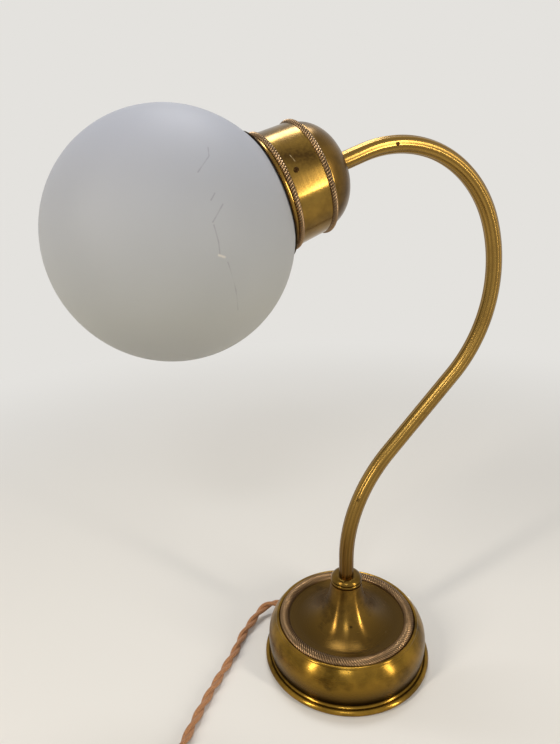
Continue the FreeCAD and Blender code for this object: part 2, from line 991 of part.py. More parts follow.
def coil_point(turn):
    """Place and unit heading on the coil's centre line after a number of turns."""
    rate = coil_pitch / (2 * math.pi)
    swept = 2 * math.pi * turn
    if turn <= coil_turns_down:
        radius, widening, height, climb = coil_inner_r + coil_pitch * (coil_turns_down - turn), -rate, 0, 0
    elif turn < coil_turns_down + 1 / 2:
        phase = 2 * math.pi * (turn - coil_turns_down)
        done = phase / math.pi
        radius = coil_inner_r - rate * (phase - phase * done)
        widening = -rate * (1 - 2 * done)
        height = coil_layer_h * (3 * done ** 2 - 2 * done ** 3)
        climb = coil_layer_h * 6 * done * (1 - done) / math.pi
    else:
        radius = coil_inner_r + coil_pitch * (turn - coil_turns_down - 1 / 2)
        widening, height, climb = rate, coil_layer_h, 0
    cos, sin = math.cos(swept), math.sin(swept)
    place = V(radius * cos, radius * sin, height)
    heading = V(widening * cos - radius * sin, widening * sin + radius * cos, climb).normalize()
    return place, heading


def biarc(start, heading, end, heading_end):
    """Two tangent arcs from a place and heading to another."""
    span = end - start
    both = heading + heading_end
    bend = 2 * (1 - heading.dot(heading_end))
    along = span.dot(both)
    reach = (-along + math.sqrt(along ** 2 + bend * span.dot(span))) / bend
    corner_a = start + heading * reach
    corner_b = end - heading_end * reach
    join = (corner_a + corner_b) * (1 / 2)
    return [arc_between(start, corner_a, join), arc_between(join, corner_b, end)]


def coil_total_turns():
    return coil_turns_down + 1 / 2 + coil_turns_up


def coil_place():
    """Turns and moves the coil so that its straight lead carries on the free cord's last run."""
    last, before = V(*cord_route[-1]), V(*cord_route[-2])
    start, heading = coil_point(0)
    wanted = math.atan2(last.y - before.y, last.x - before.x)
    turn = FreeCAD.Rotation(UP, math.degrees(wanted - math.atan2(heading.y, heading.x)))
    foot = turn.multVec(start - heading * coil_lead)
    return FreeCAD.Placement(last - foot, turn)


def coil_path():
    quarters = round(coil_total_turns() * 4)
    stations = [coil_point(k / 4) for k in range(quarters + 1)]
    first, heading = stations[0]
    edges = [Part.LineSegment(first - heading * coil_lead, first).toShape()]
    for (start, heading), (end, heading_end) in zip(stations, stations[1:]):
        edges += biarc(start, heading, end, heading_end)
    last, heading = stations[-1]
    edges.append(Part.LineSegment(last, last + heading * coil_lead).toShape())
    return edges


def coil_self_gap(samples=48):
    """The least gap between two turns, measured between points more than a quarter turn apart."""
    count = round(coil_total_turns() * samples)
    points = [coil_point(k / samples)[0] for k in range(count + 1)]
    nearest = min((a - b).Length for i, a in enumerate(points) for b in points[i + samples // 4:])
    return nearest - 2 * cord_r


def cord_lead():
    edges, radii = rounded_route(cord_route)
    tube = tube_along(edges, cord_r)
    length = sum(edge.Length for edge in edges)
    print("cord lead radii", [round(radius, 1) for radius in radii])
    print("cord lead length", round(length, 1), "volume share",
          round(tube.Volume / (math.pi * cord_r ** 2 * length), 4))
    return tube


def cord_coil():
    edges = coil_path()
    coil = tube_along(edges, cord_r)
    length = sum(edge.Length for edge in edges)
    print("cord coil length", round(length, 1), "volume share",
          round(coil.Volume / (math.pi * cord_r ** 2 * length), 4), "self gap", round(coil_self_gap(), 2))
    last, heading = coil_point(coil_total_turns())
    end = coil_place().multVec(last + heading * coil_lead)
    print("cord coil ends at", [round(value, 2) for value in end], "heading",
          [round(value, 3) for value in coil_place().Rotation.multVec(heading)])
    return placed(coil, coil_place())


def cord_tail():
    edges, radii = rounded_route(cord_tail_route)
    tube = tube_along(edges, cord_r)
    length = sum(edge.Length for edge in edges)
    print("cord tail radii", [round(radius, 1) for radius in radii])
    print("cord tail length", round(length, 1), "volume share",
          round(tube.Volume / (math.pi * cord_r ** 2 * length), 4))
    return tube


# Plug
def plug_frame():
    """Origin at the cord's end on its axis, X along the cord, Z up."""
    end, before = V(*cord_tail_route[-1]), V(*cord_tail_route[-2])
    along = math.degrees(math.atan2(end.y - before.y, end.x - before.x))
    return FreeCAD.Placement(end, FreeCAD.Rotation(UP, along))


def plug_shell():
    half = plug_half_h
    side, nose = plug_w / 2, plug_nose_w / 2
    start = plug_sleeve_len
    shoulder = start + plug_len / 3
    ring = [V(start, -plug_sleeve_r, -half), V(shoulder, -side, -half), V(start + plug_len, -nose, -half)]
    ring += [V(point.x, -point.y, -half) for point in reversed(ring)]
    body = Part.Face(Part.makePolygon(ring + ring[:1])).extrude(UP * (2 * half))
    upright = [edge for edge in body.Edges if abs(edge.BoundBox.ZLength - 2 * half) < running_gap]
    body = body.makeFillet(plug_corner_r, upright)
    level = [edge for edge in body.Edges if edge.BoundBox.ZLength < running_gap]
    body = body.makeFillet(plug_edge_r, level)
    sleeve = Part.makeCylinder(plug_sleeve_r, start + plug_corner_r, V(0, 0, 0), V(1, 0, 0))
    return body.fuse(sleeve)


def pin_bars(radius):
    start = plug_sleeve_len + plug_len - pin_root
    return Part.makeCompound([
        Part.makeCylinder(radius, pin_root + pin_len, V(start, side * pin_spacing / 2, 0), V(1, 0, 0))
        for side in (-1, 1)])


def plug_screw_plug(depth):
    at = plug_sleeve_len + plug_len * plug_screw_back_share
    top = plug_half_h
    return Part.makeCylinder(plug_screw_r, depth, V(at, 0, top - depth))


def plug_body():
    return placed(plug_shell().cut(pin_bars(pin_r)).cut(plug_screw_plug(plug_screw_h)), plug_frame())


def plug_pins():
    return placed(pin_bars(pin_r), plug_frame())


def plug_screw():
    return placed(plug_screw_plug(plug_screw_h), plug_frame())


def main_solids():
    """The pieces whose builders take no arguments, by node name."""
    return {
        "base_skirt": base_skirt,
        "base_dish": base_dish,
        "knurled_base_ring": knurled_base_ring,
        "base_collar": base_collar,
        "ballast_weight": ballast_weight,
        "bottom_plate": bottom_plate,
        "bottom_plate_screws": bottom_plate_screws,
        "felt_pad": felt_pad,
        "stem_tube": stem_tube,
        "stem_screw": stem_screw,
        "stem_wires": stem_wires,
        "base_nipple": base_nipple,
        "nipple_washer": nipple_washer,
        "nipple_nut": nipple_nut,
        "gallery_body": gallery_body,
        "knurled_ring_front": knurled_ring_front,
        "knurled_ring_rear": knurled_ring_rear,
        "globe_screws": globe_screws,
        "dome_cap": dome_cap,
        "glass_globe": glass_globe,
        "head_washer": head_washer,
        "head_lock_nut": head_lock_nut,
        "head_nipple": head_nipple,
        "holder_cap": holder_cap,
        "holder_sleeve": holder_sleeve,
        "holder_insert": holder_insert,
        "holder_contact": holder_contact,
        "bulb_base": bulb_base,
        "bulb_glass": bulb_glass,
        "switch_housing": switch_housing,
        "switch_bezel": switch_bezel,
        "switch_button": switch_button,
        "switch_spring": switch_spring,
        "switch_terminals": switch_terminals,
        "cord_bush": cord_bush,
        "inner_cord": inner_cord,
        "cord_clamp_saddle": cord_clamp_saddle,
        "cord_clamp_bar": cord_clamp_bar,
        "cord_clamp_screws": cord_clamp_screws,
        "cord_lead": cord_lead,
        "cord_coil": cord_coil,
        "cord_tail": cord_tail,
        "plug_body": plug_body,
        "plug_pins": plug_pins,
        "plug_screw": plug_screw,
    }


os.makedirs(OUT, exist_ok=True)
for name, build in main_solids().items():
    piece = build()
    print(name, piece.ShapeType, len(piece.Solids), piece.isValid(), round(piece.Volume))
    piece.exportStep(os.path.join(OUT, name + ".step"))
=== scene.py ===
"""A swan-neck table lamp in aged brass with an opal glass globe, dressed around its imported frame.

Lengths in the classes are millimetres, turned into metres where a mesh is made, apart from those of the
stage whose names end in _m. Z is up, the origin is the middle of the base on the table, and the globe
hangs over -X.
"""

import json
import logging
import math
from dataclasses import dataclass
from enum import Enum
from typing import Any, Iterable, Optional, Union

import bmesh
import bpy
from mathutils import Matrix, Quaternion, Vector

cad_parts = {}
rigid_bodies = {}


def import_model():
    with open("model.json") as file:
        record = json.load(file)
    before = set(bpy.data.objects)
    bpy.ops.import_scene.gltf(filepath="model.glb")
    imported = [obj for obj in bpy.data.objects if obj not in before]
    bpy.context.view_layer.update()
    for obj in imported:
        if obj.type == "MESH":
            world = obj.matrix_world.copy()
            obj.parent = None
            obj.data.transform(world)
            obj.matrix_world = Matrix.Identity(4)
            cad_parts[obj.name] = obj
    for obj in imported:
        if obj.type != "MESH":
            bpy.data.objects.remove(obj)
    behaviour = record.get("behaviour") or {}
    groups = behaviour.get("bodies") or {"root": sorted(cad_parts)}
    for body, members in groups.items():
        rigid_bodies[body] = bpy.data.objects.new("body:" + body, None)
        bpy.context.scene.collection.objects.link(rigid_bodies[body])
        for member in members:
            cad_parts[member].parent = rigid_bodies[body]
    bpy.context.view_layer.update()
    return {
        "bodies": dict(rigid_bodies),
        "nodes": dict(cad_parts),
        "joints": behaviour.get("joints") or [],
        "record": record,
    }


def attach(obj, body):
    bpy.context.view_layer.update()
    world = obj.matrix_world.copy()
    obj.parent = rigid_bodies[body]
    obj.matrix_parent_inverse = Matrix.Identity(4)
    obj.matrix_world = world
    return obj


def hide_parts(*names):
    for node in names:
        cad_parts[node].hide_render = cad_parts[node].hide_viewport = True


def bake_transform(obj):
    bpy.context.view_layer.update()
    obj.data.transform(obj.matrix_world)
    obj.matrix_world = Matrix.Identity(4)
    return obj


LOG = logging.getLogger("lamp")
MM = 0.001
DOUBLES_M = 0.5e-6
BEAD_WELD_M = 2e-6
TINY_MM = 1e-6
WANDER_MM = 1.6  # size of the noise that makes the edges of marks ragged
BEAD_SHARP = 80.0  # keeps the ropes' grooves smooth
TUBE_SHARP = 60.0  # keeps reeds and cores smooth, with sharp ends
Point = tuple[float, float]
Place = tuple[float, float, float]
Mesh, Material, Object, Tree = bpy.types.Mesh, bpy.types.Material, bpy.types.Object, bpy.types.NodeTree
Link = Union[bpy.types.Node, bpy.types.NodeSocket]
Value = Union[float, int, str, tuple, Vector, Material, Link]


def linear(colour: str) -> tuple[float, float, float, float]:
    """Turns an sRGB hex colour into linear RGBA.

    Args:
        colour: Six hex digits after a hash.

    Returns:
        Linear red, green and blue with an alpha of one.
    """
    channels = [int(colour[k:k + 2], 16) / 255 for k in (1, 3, 5)]
    curve = [c / 12.92 if c <= 0.04045 else ((c + 0.055) / 1.055) ** 2.4 for c in channels]
    return (curve[0], curve[1], curve[2], 1.0)


def add(tree: Tree, kind: str, inputs: Optional[dict[Union[int, str], Value]] = None,
        **settings: Any) -> bpy.types.Node:
    """Adds one node with its settings and links.

    Args:
        tree: The node tree that takes the node.
        kind: The node's type name, where ShaderNode may be left off.
        inputs: By input name or index, a constant, an sRGB hex colour, a socket to link from, or a node,
            which is linked from its first output in use.
        settings: Properties of the node itself.

    Returns:
        The new node.
    """
    node = tree.nodes.new(kind if "Node" in kind else "ShaderNode" + kind)
    for name, value in settings.items():
        setattr(node, name, value)
    for key, value in (inputs or {}).items():
        if isinstance(value, bpy.types.Node):
            value = next(output for output in value.outputs if output.enabled)
        if isinstance(value, bpy.types.NodeSocket):
            tree.links.new(value, node.inputs[key])
        elif isinstance(value, str) and value.startswith("#"):
            node.inputs[key].default_value = linear(value)
        else:
            node.inputs[key].default_value = value
    return node


def add_rows(tree: Tree, kind: str, known: dict[str, Link], rows: dict[str, tuple]) -> dict[str, Link]:
    """Adds a run of nodes of one kind, where each has a name that later ones can use.

    Args:
        tree: The node tree that takes the nodes.
        kind: Their type name, as for one node.
        known: What the first rows can use, by name.
        rows: By the new name, the node's operation and then its inputs in order, as names or constants.

    Returns:
        Everything known by then, by name.
    """
    links = dict(known)
    for name, (operation, *values) in rows.items():
        inputs = {k: links[value] if isinstance(value, str) else value for k, value in enumerate(values)}
        links[name] = add(tree, kind, inputs, operation=operation)
    return links


def put(name: str, data: bpy.types.ID) -> Object:
    """Puts data in the scene as an object.

    Args:
        name: The object's name.
        data: Its mesh, curve, lamp or camera.

    Returns:
        The new object.
    """
    thing = bpy.data.objects.new(name, data)
    bpy.context.scene.collection.objects.link(thing)
    return thing


class SpinAxis(Enum):
    """The axis that a spun or turned piece was worked about."""

    BASE = "base"
    HEAD = "head"
    NONE = "none"


@dataclass(frozen=True)
class StemPath:
    """The centre line of the S-shaped tube, drawn from the base to the head."""

    bend_start_z: float = 93.4
    lower_bend_r: float = 124.1
    lower_bend_turn: float = 45.3
    straight_run: float = 79.2
    side_bend_r: float = 109.4
    side_bend_turn: float = 66.2
    top_bend_r: float = 84.9
    head_elevation: float = 19.4
    tail: float = 21.5
    foot_z: float = 70.0
    step: float = 1.6

    def walk(self) -> tuple[list[Vector], float]:
        """Draws the path as points a short step apart.

        Returns:
            The points in millimetres, and the last heading in degrees.
        """
        top_turn = 180 + self.head_elevation - (90 - self.lower_bend_turn + self.side_bend_turn)
        moves = [(self.bend_start_z - self.foot_z, 0.0),
                 (math.radians(self.lower_bend_turn) * self.lower_bend_r, -self.lower_bend_turn),
                 (self.straight_run, 0.0),
                 (math.radians(self.side_bend_turn) * self.side_bend_r, self.side_bend_turn),
                 (math.radians(top_turn) * self.top_bend_r, top_turn),
                 (self.tail, 0.0)]
        place, heading = Vector((0.0, 0.0, self.foot_z)), 90.0
        points = [place.copy()]
        for length, turn in moves:
            count = max(1, round(length / self.step))
            chord = length / count
            if turn:
                half = math.radians(turn / count / 2)
                chord *= math.sin(half) / half
            for _ in range(count):
                heading += turn / count / 2
                angle = math.radians(heading)
                place = place + Vector((math.cos(angle), 0, math.sin(angle))) * chord
                heading += turn / count / 2
                points.append(place.copy())
        return points, heading


STEM = StemPath()
DOME_TOP_AT = 117.0


def head_matrix() -> Matrix:
    """The head's frame: origin at the globe's centre and Z towards the tube, in millimetres.

    Returns:
        The frame.
    """
    points, heading = STEM.walk()
    angle = math.radians(heading)
    axis = Vector((-math.cos(angle), 0, -math.sin(angle)))
    centre = points[-1] - axis * DOME_TOP_AT
    return Matrix.Translation(centre) @ Vector((0, 0, 1)).rotation_difference(axis).to_matrix().to_4x4()


HEAD = head_matrix()


# Finishes
def new_material(name: str) -> tuple[Material, Tree]:
    """Starts an empty node material.

    Args:
        name: The finish's name.

    Returns:
        The material and its node tree.
    """
    material = bpy.data.materials.new(name)
    material.use_nodes = True
    material.node_tree.nodes.clear()
    return material, material.node_tree


def finish_surface(tree: Tree, inputs: dict[str, Value]) -> None:
    """Adds the surface shader and the material's output.

    Args:
        tree: The material's node tree.
        inputs: The shader's inputs, as constants or sockets.
    """
    shader = add(tree, "BsdfPrincipled", inputs)
    add(tree, "OutputMaterial", {"Surface": shader})


@dataclass(frozen=True)
class Mark:
    """A stain, scratch or hairline along a short line on the surface, in millimetres in the lamp's frame."""

    start: Place
    end: Place
    reach: float
    ragged: float

    def mask(self, tree: Tree, place: Link, wander: Link) -> Link:
        """One on the line, falling to zero at its reach.

        Args:
            tree: The material's node tree.
            place: Object coordinates.
            wander: Noise from zero to one, which makes the edge ragged.

        Returns:
            The mask.
        """
        run, ragged = (Vector(self.end) - Vector(self.start)) * MM, self.ragged * MM
        links = add_rows(tree, "VectorMath", {"place": place}, {
            "off": ("SUBTRACT", "place", Vector(self.start) * MM),
            "dot": ("DOT_PRODUCT", "off", run / run.length_squared)})
        share = add(tree, "Clamp", {0: links["dot"]})
        foot = add(tree, "VectorMath", {0: run, "Scale": share}, operation="SCALE")
        gap = add(tree, "VectorMath", {0: links["off"], 1: foot}, operation="DISTANCE")
        rough = add(tree, "Math", {0: wander, 1: ragged, 2: gap}, operation="MULTIPLY_ADD")
        return add(tree, "MapRange", {"Value": rough, "From Min": ragged / 2,
                                      "From Max": ragged / 2 + self.reach * MM, "To Min": 1.0, "To Max": 0.0})


def largest(tree: Tree, masks: Iterable[Link]) -> Link:
    """The largest of several masks at each place.

    Args:
        tree: The material's node tree.
        masks: The masks, at least one.

    Returns:
        The combined mask.
    """
    whole, *others = masks
    for mask in others:
        whole = add(tree, "Math", {0: whole, 1: mask}, operation="MAXIMUM")
    return whole


def mark_masks(tree: Tree, marks: tuple[Mark, ...]) -> list[Link]:
    """One mask for each mark of a finish.

    Args:
        tree: The material's node tree.
        marks: The marks, or none.

    Returns:
        Their masks, in order.
    """
    if not marks:
        return []
    place = add(tree, "TexCoord").outputs["Object"]
    wander = add(tree, "TexNoise", {"Vector": place, "Scale": 1 / (WANDER_MM * MM), "Detail": 3.0})
    return [mark.mask(tree, place, wander) for mark in marks]


@dataclass(frozen=True)
class AgedBrass:
    """Spun, turned or drawn brass whose lacquer has gone: olive gold in places, brown in others.

    The eye reads it by its warm, sharp highlights, thin brown patina, near-black specks and the
    fine rings that the spinning tool left.
    """

    name: str
    clean: str
    patina: str
    speck: str = "#25190c"
    bare: str = "#cdb48a"
    axis: SpinAxis = SpinAxis.BASE
    cloud_mm: float = 26.0
    cloud_span: Point = (0.38, 0.78)
    speck_mm: float = 5.0
    speck_limit: float = 0.72
    speck_edge: float = 0.05
    ring_mm: float = 0.9
    ring_gloss: float = 0.1  # how far the rings' noise moves the roughness
    roughness: Point = (0.2, 0.32)
    groove: bool = False
    groove_shade: float = 0.75  # painted shade: how near to the specks' colour the bottom of a groove comes
    spun: float = 0.0
    brown_span: Optional[Place] = None  # heights where it is bright, brown, and where the brown ends
    brown_fade: float = 1.0
    # painted dark reflection: bands laid in the patina's colour
    painted_dark_reflections: tuple[Mark, ...] = ()
    marks: tuple[Mark, ...] = ()
    scratches: tuple[Mark, ...] = ()

    def pattern_place(self, tree: Tree) -> Link:
        """Object coordinates, moved into the head's frame on pieces worked about its axis.

        Args:
            tree: The material's node tree.

        Returns:
            The coordinates.
        """
        place = add(tree, "TexCoord").outputs["Object"]
        if self.axis is not SpinAxis.HEAD:
            return place
        centre, turn = HEAD.translation * MM, HEAD.to_euler()
        return add(tree, "Mapping", {"Vector": place, "Location": centre, "Rotation": tuple(turn)},
                   vector_type="TEXTURE")

    def ring_pattern(self, tree: Tree, place: Link) -> Link:
        """Noise drawn out into rings about the piece's axis, or plain fine noise without one.

        Args:
            tree: The material's node tree.
            place: The pattern's coordinates.

        Returns:
            The noise.
        """
        scale = 1 / (self.ring_mm * MM)
        if self.axis is SpinAxis.NONE:
            return add(tree, "TexNoise", {"Vector": place, "Scale": scale, "Detail": 2.0})
        x, y, z = add(tree, "SeparateXYZ", {0: place}).outputs
        flat = add(tree, "CombineXYZ", {0: x, 1: y})
        radius = add(tree, "VectorMath", {0: flat}, operation="LENGTH")
        swing = add(tree, "Math", {0: y, 1: x}, operation="ARCTAN2")
        slow = add(tree, "Math", {0: swing, 1: self.ring_mm * MM}, operation="MULTIPLY")
        rings = add(tree, "CombineXYZ", {0: radius, 1: z, 2: slow})
        return add(tree, "TexNoise", {"Vector": rings, "Scale": scale, "Detail": 3.0})

    def lay_of_rings(self, tree: Tree) -> Link:
        """The way the spinning tool's rings run, round the piece's axis.

        Args:
            tree: The material's node tree.

        Returns:
            The direction.
        """
        place = add(tree, "TexCoord").outputs["Object"]
        frame = HEAD if self.axis is SpinAxis.HEAD else Matrix.Identity(4)
        axis = frame.to_quaternion() @ Vector((0, 0, 1))
        arm = add(tree, "VectorMath", {0: place, 1: frame.translation * MM}, operation="SUBTRACT")
        return add(tree, "VectorMath", {0: axis, 1: arm}, operation="CROSS_PRODUCT")

    def dulled(self, tree: Tree, place: Link) -> Link:
        """How far the brown goes by height: bright above, brown below, and bright again at the end.

        Args:
            tree: The material's node tree.
            place: The pattern's coordinates.

        Returns:
            The mask.
        """
        height = add(tree, "SeparateXYZ", {0: place}).outputs[2]
        bright, brown, end = (limit * MM for limit in self.brown_span)
        fade = self.brown_fade * MM
        above = add(tree, "MapRange", {"Value": height, "From Min": end - fade, "From Max": end + fade})
        return add(tree, "MapRange", {"Value": height, "From Min": bright, "From Max": brown, "To Max": above})

    def build(self) -> Material:
        """Makes the material.

        Returns:
            The material.
        """
        material, tree = new_material(self.name)
        place = self.pattern_place(tree)
        rings = self.ring_pattern(tree, place)
        cloud = add(tree, "TexNoise", {"Vector": place, "Scale": 1 / (self.cloud_mm * MM), "Detail": 5.0,
                                       "Roughness": 0.62})
        speckle = add(tree, "TexNoise", {"Vector": place, "Scale": 1 / (self.speck_mm * MM), "Detail": 6.0,
                                         "Roughness": 0.7})
        patina_and_shade_parts = [add(tree, "MapRange", {"Value": cloud, "From Min": self.cloud_span[0],
                                       "From Max": self.cloud_span[1]})]
        darks = [add(tree, "MapRange", {"Value": speckle, "From Min": self.speck_limit,
                                        "From Max": self.speck_limit + self.speck_edge})]
        if self.brown_span:
            patina_and_shade_parts.append(self.dulled(tree, place))
        patina_and_shade_parts += mark_masks(tree, self.painted_dark_reflections)
        darks += mark_masks(tree, self.marks)
        # Grooves take the patina that old brass keeps in its hollows, and go darker towards the specks' colour as
        # painted shade.
        if self.groove:
            groove_patina_and_shade = add(tree, "Attribute", attribute_name="groove").outputs["Fac"]
            patina_and_shade_parts.append(groove_patina_and_shade)
            darks.append(add(tree, "Math", {0: groove_patina_and_shade, 1: self.groove_shade}, operation="MULTIPLY"))
        # The patina mix carries real patina together with the painted shade and painted dark reflections above.
        patina_and_shade = largest(tree, patina_and_shade_parts)
        patina_and_shade_tone = add(tree, "Mix", {"Factor": patina_and_shade, 6: self.clean, 7: self.patina}, data_type="RGBA")
        shade = add(tree, "Mix", {"Factor": largest(tree, darks), 6: patina_and_shade_tone, 7: self.speck}, data_type="RGBA")
        if self.scratches:
            scratched = largest(tree, mark_masks(tree, self.scratches))
            shade = add(tree, "Mix", {"Factor": scratched, 6: shade, 7: self.bare}, data_type="RGBA")
        low, high = self.roughness
        spread = add(tree, "MapRange", {"Value": patina_and_shade, "To Min": low, "To Max": high})
        ripple = add(tree, "Math", {0: rings, 1: self.ring_gloss, 2: spread}, operation="MULTIPLY_ADD")
        fine = add(tree, "Bump", {"Height": rings, "Strength": 0.05, "Distance": 0.1 * MM})
        dents = add(tree, "Bump", {"Height": cloud, "Strength": 0.12, "Distance": 0.5 * MM, "Normal": fine})
        inputs: dict[str, Value] = {"Base Color": shade, "Metallic": 1.0, "Roughness": ripple, "Normal": dents}
        if self.spun:
            # Tool rings stretch a highlight across themselves, so the rings' own way is turned by a quarter.
            inputs.update({"Anisotropic": self.spun, "Anisotropic Rotation": 0.25,
                           "Tangent": self.lay_of_rings(tree)})
        finish_surface(tree, inputs)
        return material


@dataclass(frozen=True)
class OpalGlass:
    """Blown opal glass with an etched skin: a soft white that glows a little below its surface."""

    name: str = "opal_glass_blown_etched"
    body: str = "#a5a6a2"
    painted_cool_light: str = "#a0a4b0"
    painted_cool_light_span: Point = (320.0, 420.0)  # heights between which the body's grey turns to the painted cool light of the top
    crack: str = "#68686c"
    crack_weight: float = 0.42
    chip: str = "#cdc9be"
    chip_weight: float = 0.9
    haze_mm: float = 45.0
    grain_mm: float = 1.2
    hairlines: tuple[Mark, ...] = (
        Mark((-108.5, -55.9, 406.6), (-109.3, -59.5, 402.3), 0.5, 0.35),
        Mark((-109.3, -59.5, 402.3), (-116.9, -65.2, 394.9), 0.5, 0.35),
        Mark((-110.2, -69.4, 384.8), (-112.8, -70.8, 381.6), 0.55, 0.35),
        Mark((-106.8, -70.7, 379.4), (-113.3, -73.5, 371.3), 0.55, 0.35),
        Mark((-112.9, -73.7, 369.8), (-111.2, -74.4, 361.0), 0.55, 0.35),
        Mark((-111.2, -74.4, 361.0), (-111.0, -74.4, 355.6), 0.55, 0.35),
        Mark((-106.8, -73.6, 351.1), (-102.2, -69.4, 335.7), 0.5, 0.35),
        Mark((-102.2, -69.4, 335.7), (-99.9, -63.6, 323.6), 0.5, 0.35))
    chips: tuple[Mark, ...] = (Mark((-111.6, -74.5, 355.1), (-108.4, -74.0, 353.8), 0.9, 0.5),)

    def build(self) -> Material:
        """Makes the material.

        Returns:
            The material.
        """
        material, tree = new_material(self.name)
        place = add(tree, "TexCoord").outputs["Object"]
        height = add(tree, "SeparateXYZ", {0: place}).outputs[2]
        low, high = (limit * MM for limit in self.painted_cool_light_span)
        # The top of the globe is painted cooler, as light falling from above.
        painted_cool_light = add(tree, "MapRange", {"Value": height, "From Min": low, "From Max": high})
        tone = add(tree, "Mix", {"Factor": painted_cool_light, 6: self.body, 7: self.painted_cool_light}, data_type="RGBA")
        for marks, colour, weight in ((self.hairlines, self.crack, self.crack_weight),
                                      (self.chips, self.chip, self.chip_weight)):
            whole = largest(tree, mark_masks(tree, marks))
            mask = add(tree, "Math", {0: whole, 1: weight}, operation="MULTIPLY")
            tone = add(tree, "Mix", {"Factor": mask, 6: tone, 7: colour}, data_type="RGBA")
        haze = add(tree, "TexNoise", {"Vector": place, "Scale": 1 / (self.haze_mm * MM), "Detail": 3.0})
        gloss = add(tree, "MapRange", {"Value": haze, "To Min": 0.55, "To Max": 0.68})
        grain = add(tree, "TexNoise", {"Vector": place, "Scale": 1 / (self.grain_mm * MM), "Detail": 2.0})
        bump = add(tree, "Bump", {"Height": grain, "Strength": 0.03, "Distance": 0.05 * MM})
        finish_surface(tree, {"Base Color": tone, "Roughness": gloss, "IOR": 1.5, "Normal": bump,
                              "Subsurface Weight": 0.25, "Subsurface Radius": (1.0, 0.9, 0.8),
                              "Subsurface Scale": 3 * MM})
        return material


@dataclass(frozen=True)
class BraidedCotton:
    """Cotton braided over each core: matt, tan gold, with small diagonal stitches that catch light."""

    name: str = "cotton_braided_flex"
    thread: str = "#c98f5c"
    shadow: str = "#633c22"
    stitches_round: int = 6
    stitch_mm: float = 2.6
    stitch_share: float = 0.3  # the stitches' weight against the fuzz
    fuzz_mm: float = 0.8

    def build(self) -> Material:
        """Makes the material.

        Returns:
            The material.
        """
        material, tree = new_material(self.name)
        around, along, _ = add(tree, "SeparateXYZ", {0: add(tree, "UVMap", uv_map="lay")}).outputs
        place = add(tree, "TexCoord").outputs["Object"]
        fuzz = add(tree, "TexNoise", {"Vector": place, "Scale": 1 / (self.fuzz_mm * MM), "Detail": 4.0})
        pitch = 2 * math.pi / self.stitch_mm
        mixed = add_rows(tree, "Math", {"around": around, "along": along, "fuzz": fuzz}, {
            "turn": ("MULTIPLY", "around", 2 * math.pi * self.stitches_round),
            "right": ("MULTIPLY_ADD", "along", pitch, "turn"),
            "left": ("MULTIPLY_ADD", "along", -pitch, "turn"),
            "right_wave": ("SINE", "right"),
            "left_wave": ("SINE", "left"),
            "weave": ("MULTIPLY", "right_wave", "left_wave"),
            "mixed": ("MULTIPLY_ADD", "weave", self.stitch_share, "fuzz")})["mixed"]
        level = add(tree, "MapRange", {"Value": mixed, "From Min": 0.15, "From Max": 0.8})
        tone = add(tree, "Mix", {"Factor": level, 6: self.shadow, 7: self.thread}, data_type="RGBA")
        bump = add(tree, "Bump", {"Height": mixed, "Strength": 0.6, "Distance": 0.35 * MM})
        finish_surface(tree, {"Base Color": tone, "Roughness": 0.78, "Normal": bump, "Sheen Weight": 0.25,
                              "Sheen Roughness": 0.5})
        return material


@dataclass(frozen=True)
class PlainFinish:
    """A finish of two close tones with grain and a small bump, for the lamp's lesser materials."""

    name: str
    light: str
    dark: str
    metallic: float
    roughness: Point
    grain_mm: float = 2.0
    bump: float = 0.15
    transmission: float = 0.0
    sheen: float = 0.0

    def build(self) -> Material:
        """Makes the material.

        Returns:
            The material.
        """
        material, tree = new_material(self.name)
        place = add(tree, "TexCoord").outputs["Object"]
        grain = add(tree, "TexNoise", {"Vector": place, "Scale": 1 / (self.grain_mm * MM), "Detail": 5.0,
                                       "Roughness": 0.6})
        tone = add(tree, "Mix", {"Factor": grain, 6: self.dark, 7: self.light}, data_type="RGBA")
        low, high = self.roughness
        rough = add(tree, "MapRange", {"Value": grain, "To Min": low, "To Max": high})
        bump = add(tree, "Bump", {"Height": grain, "Strength": self.bump, "Distance": 0.2 * MM})
        finish_surface(tree, {"Base Color": tone, "Metallic": self.metallic, "Roughness": rough, "Normal": bump,
                              "Transmission Weight": self.transmission, "Sheen Weight": self.sheen})
        return material


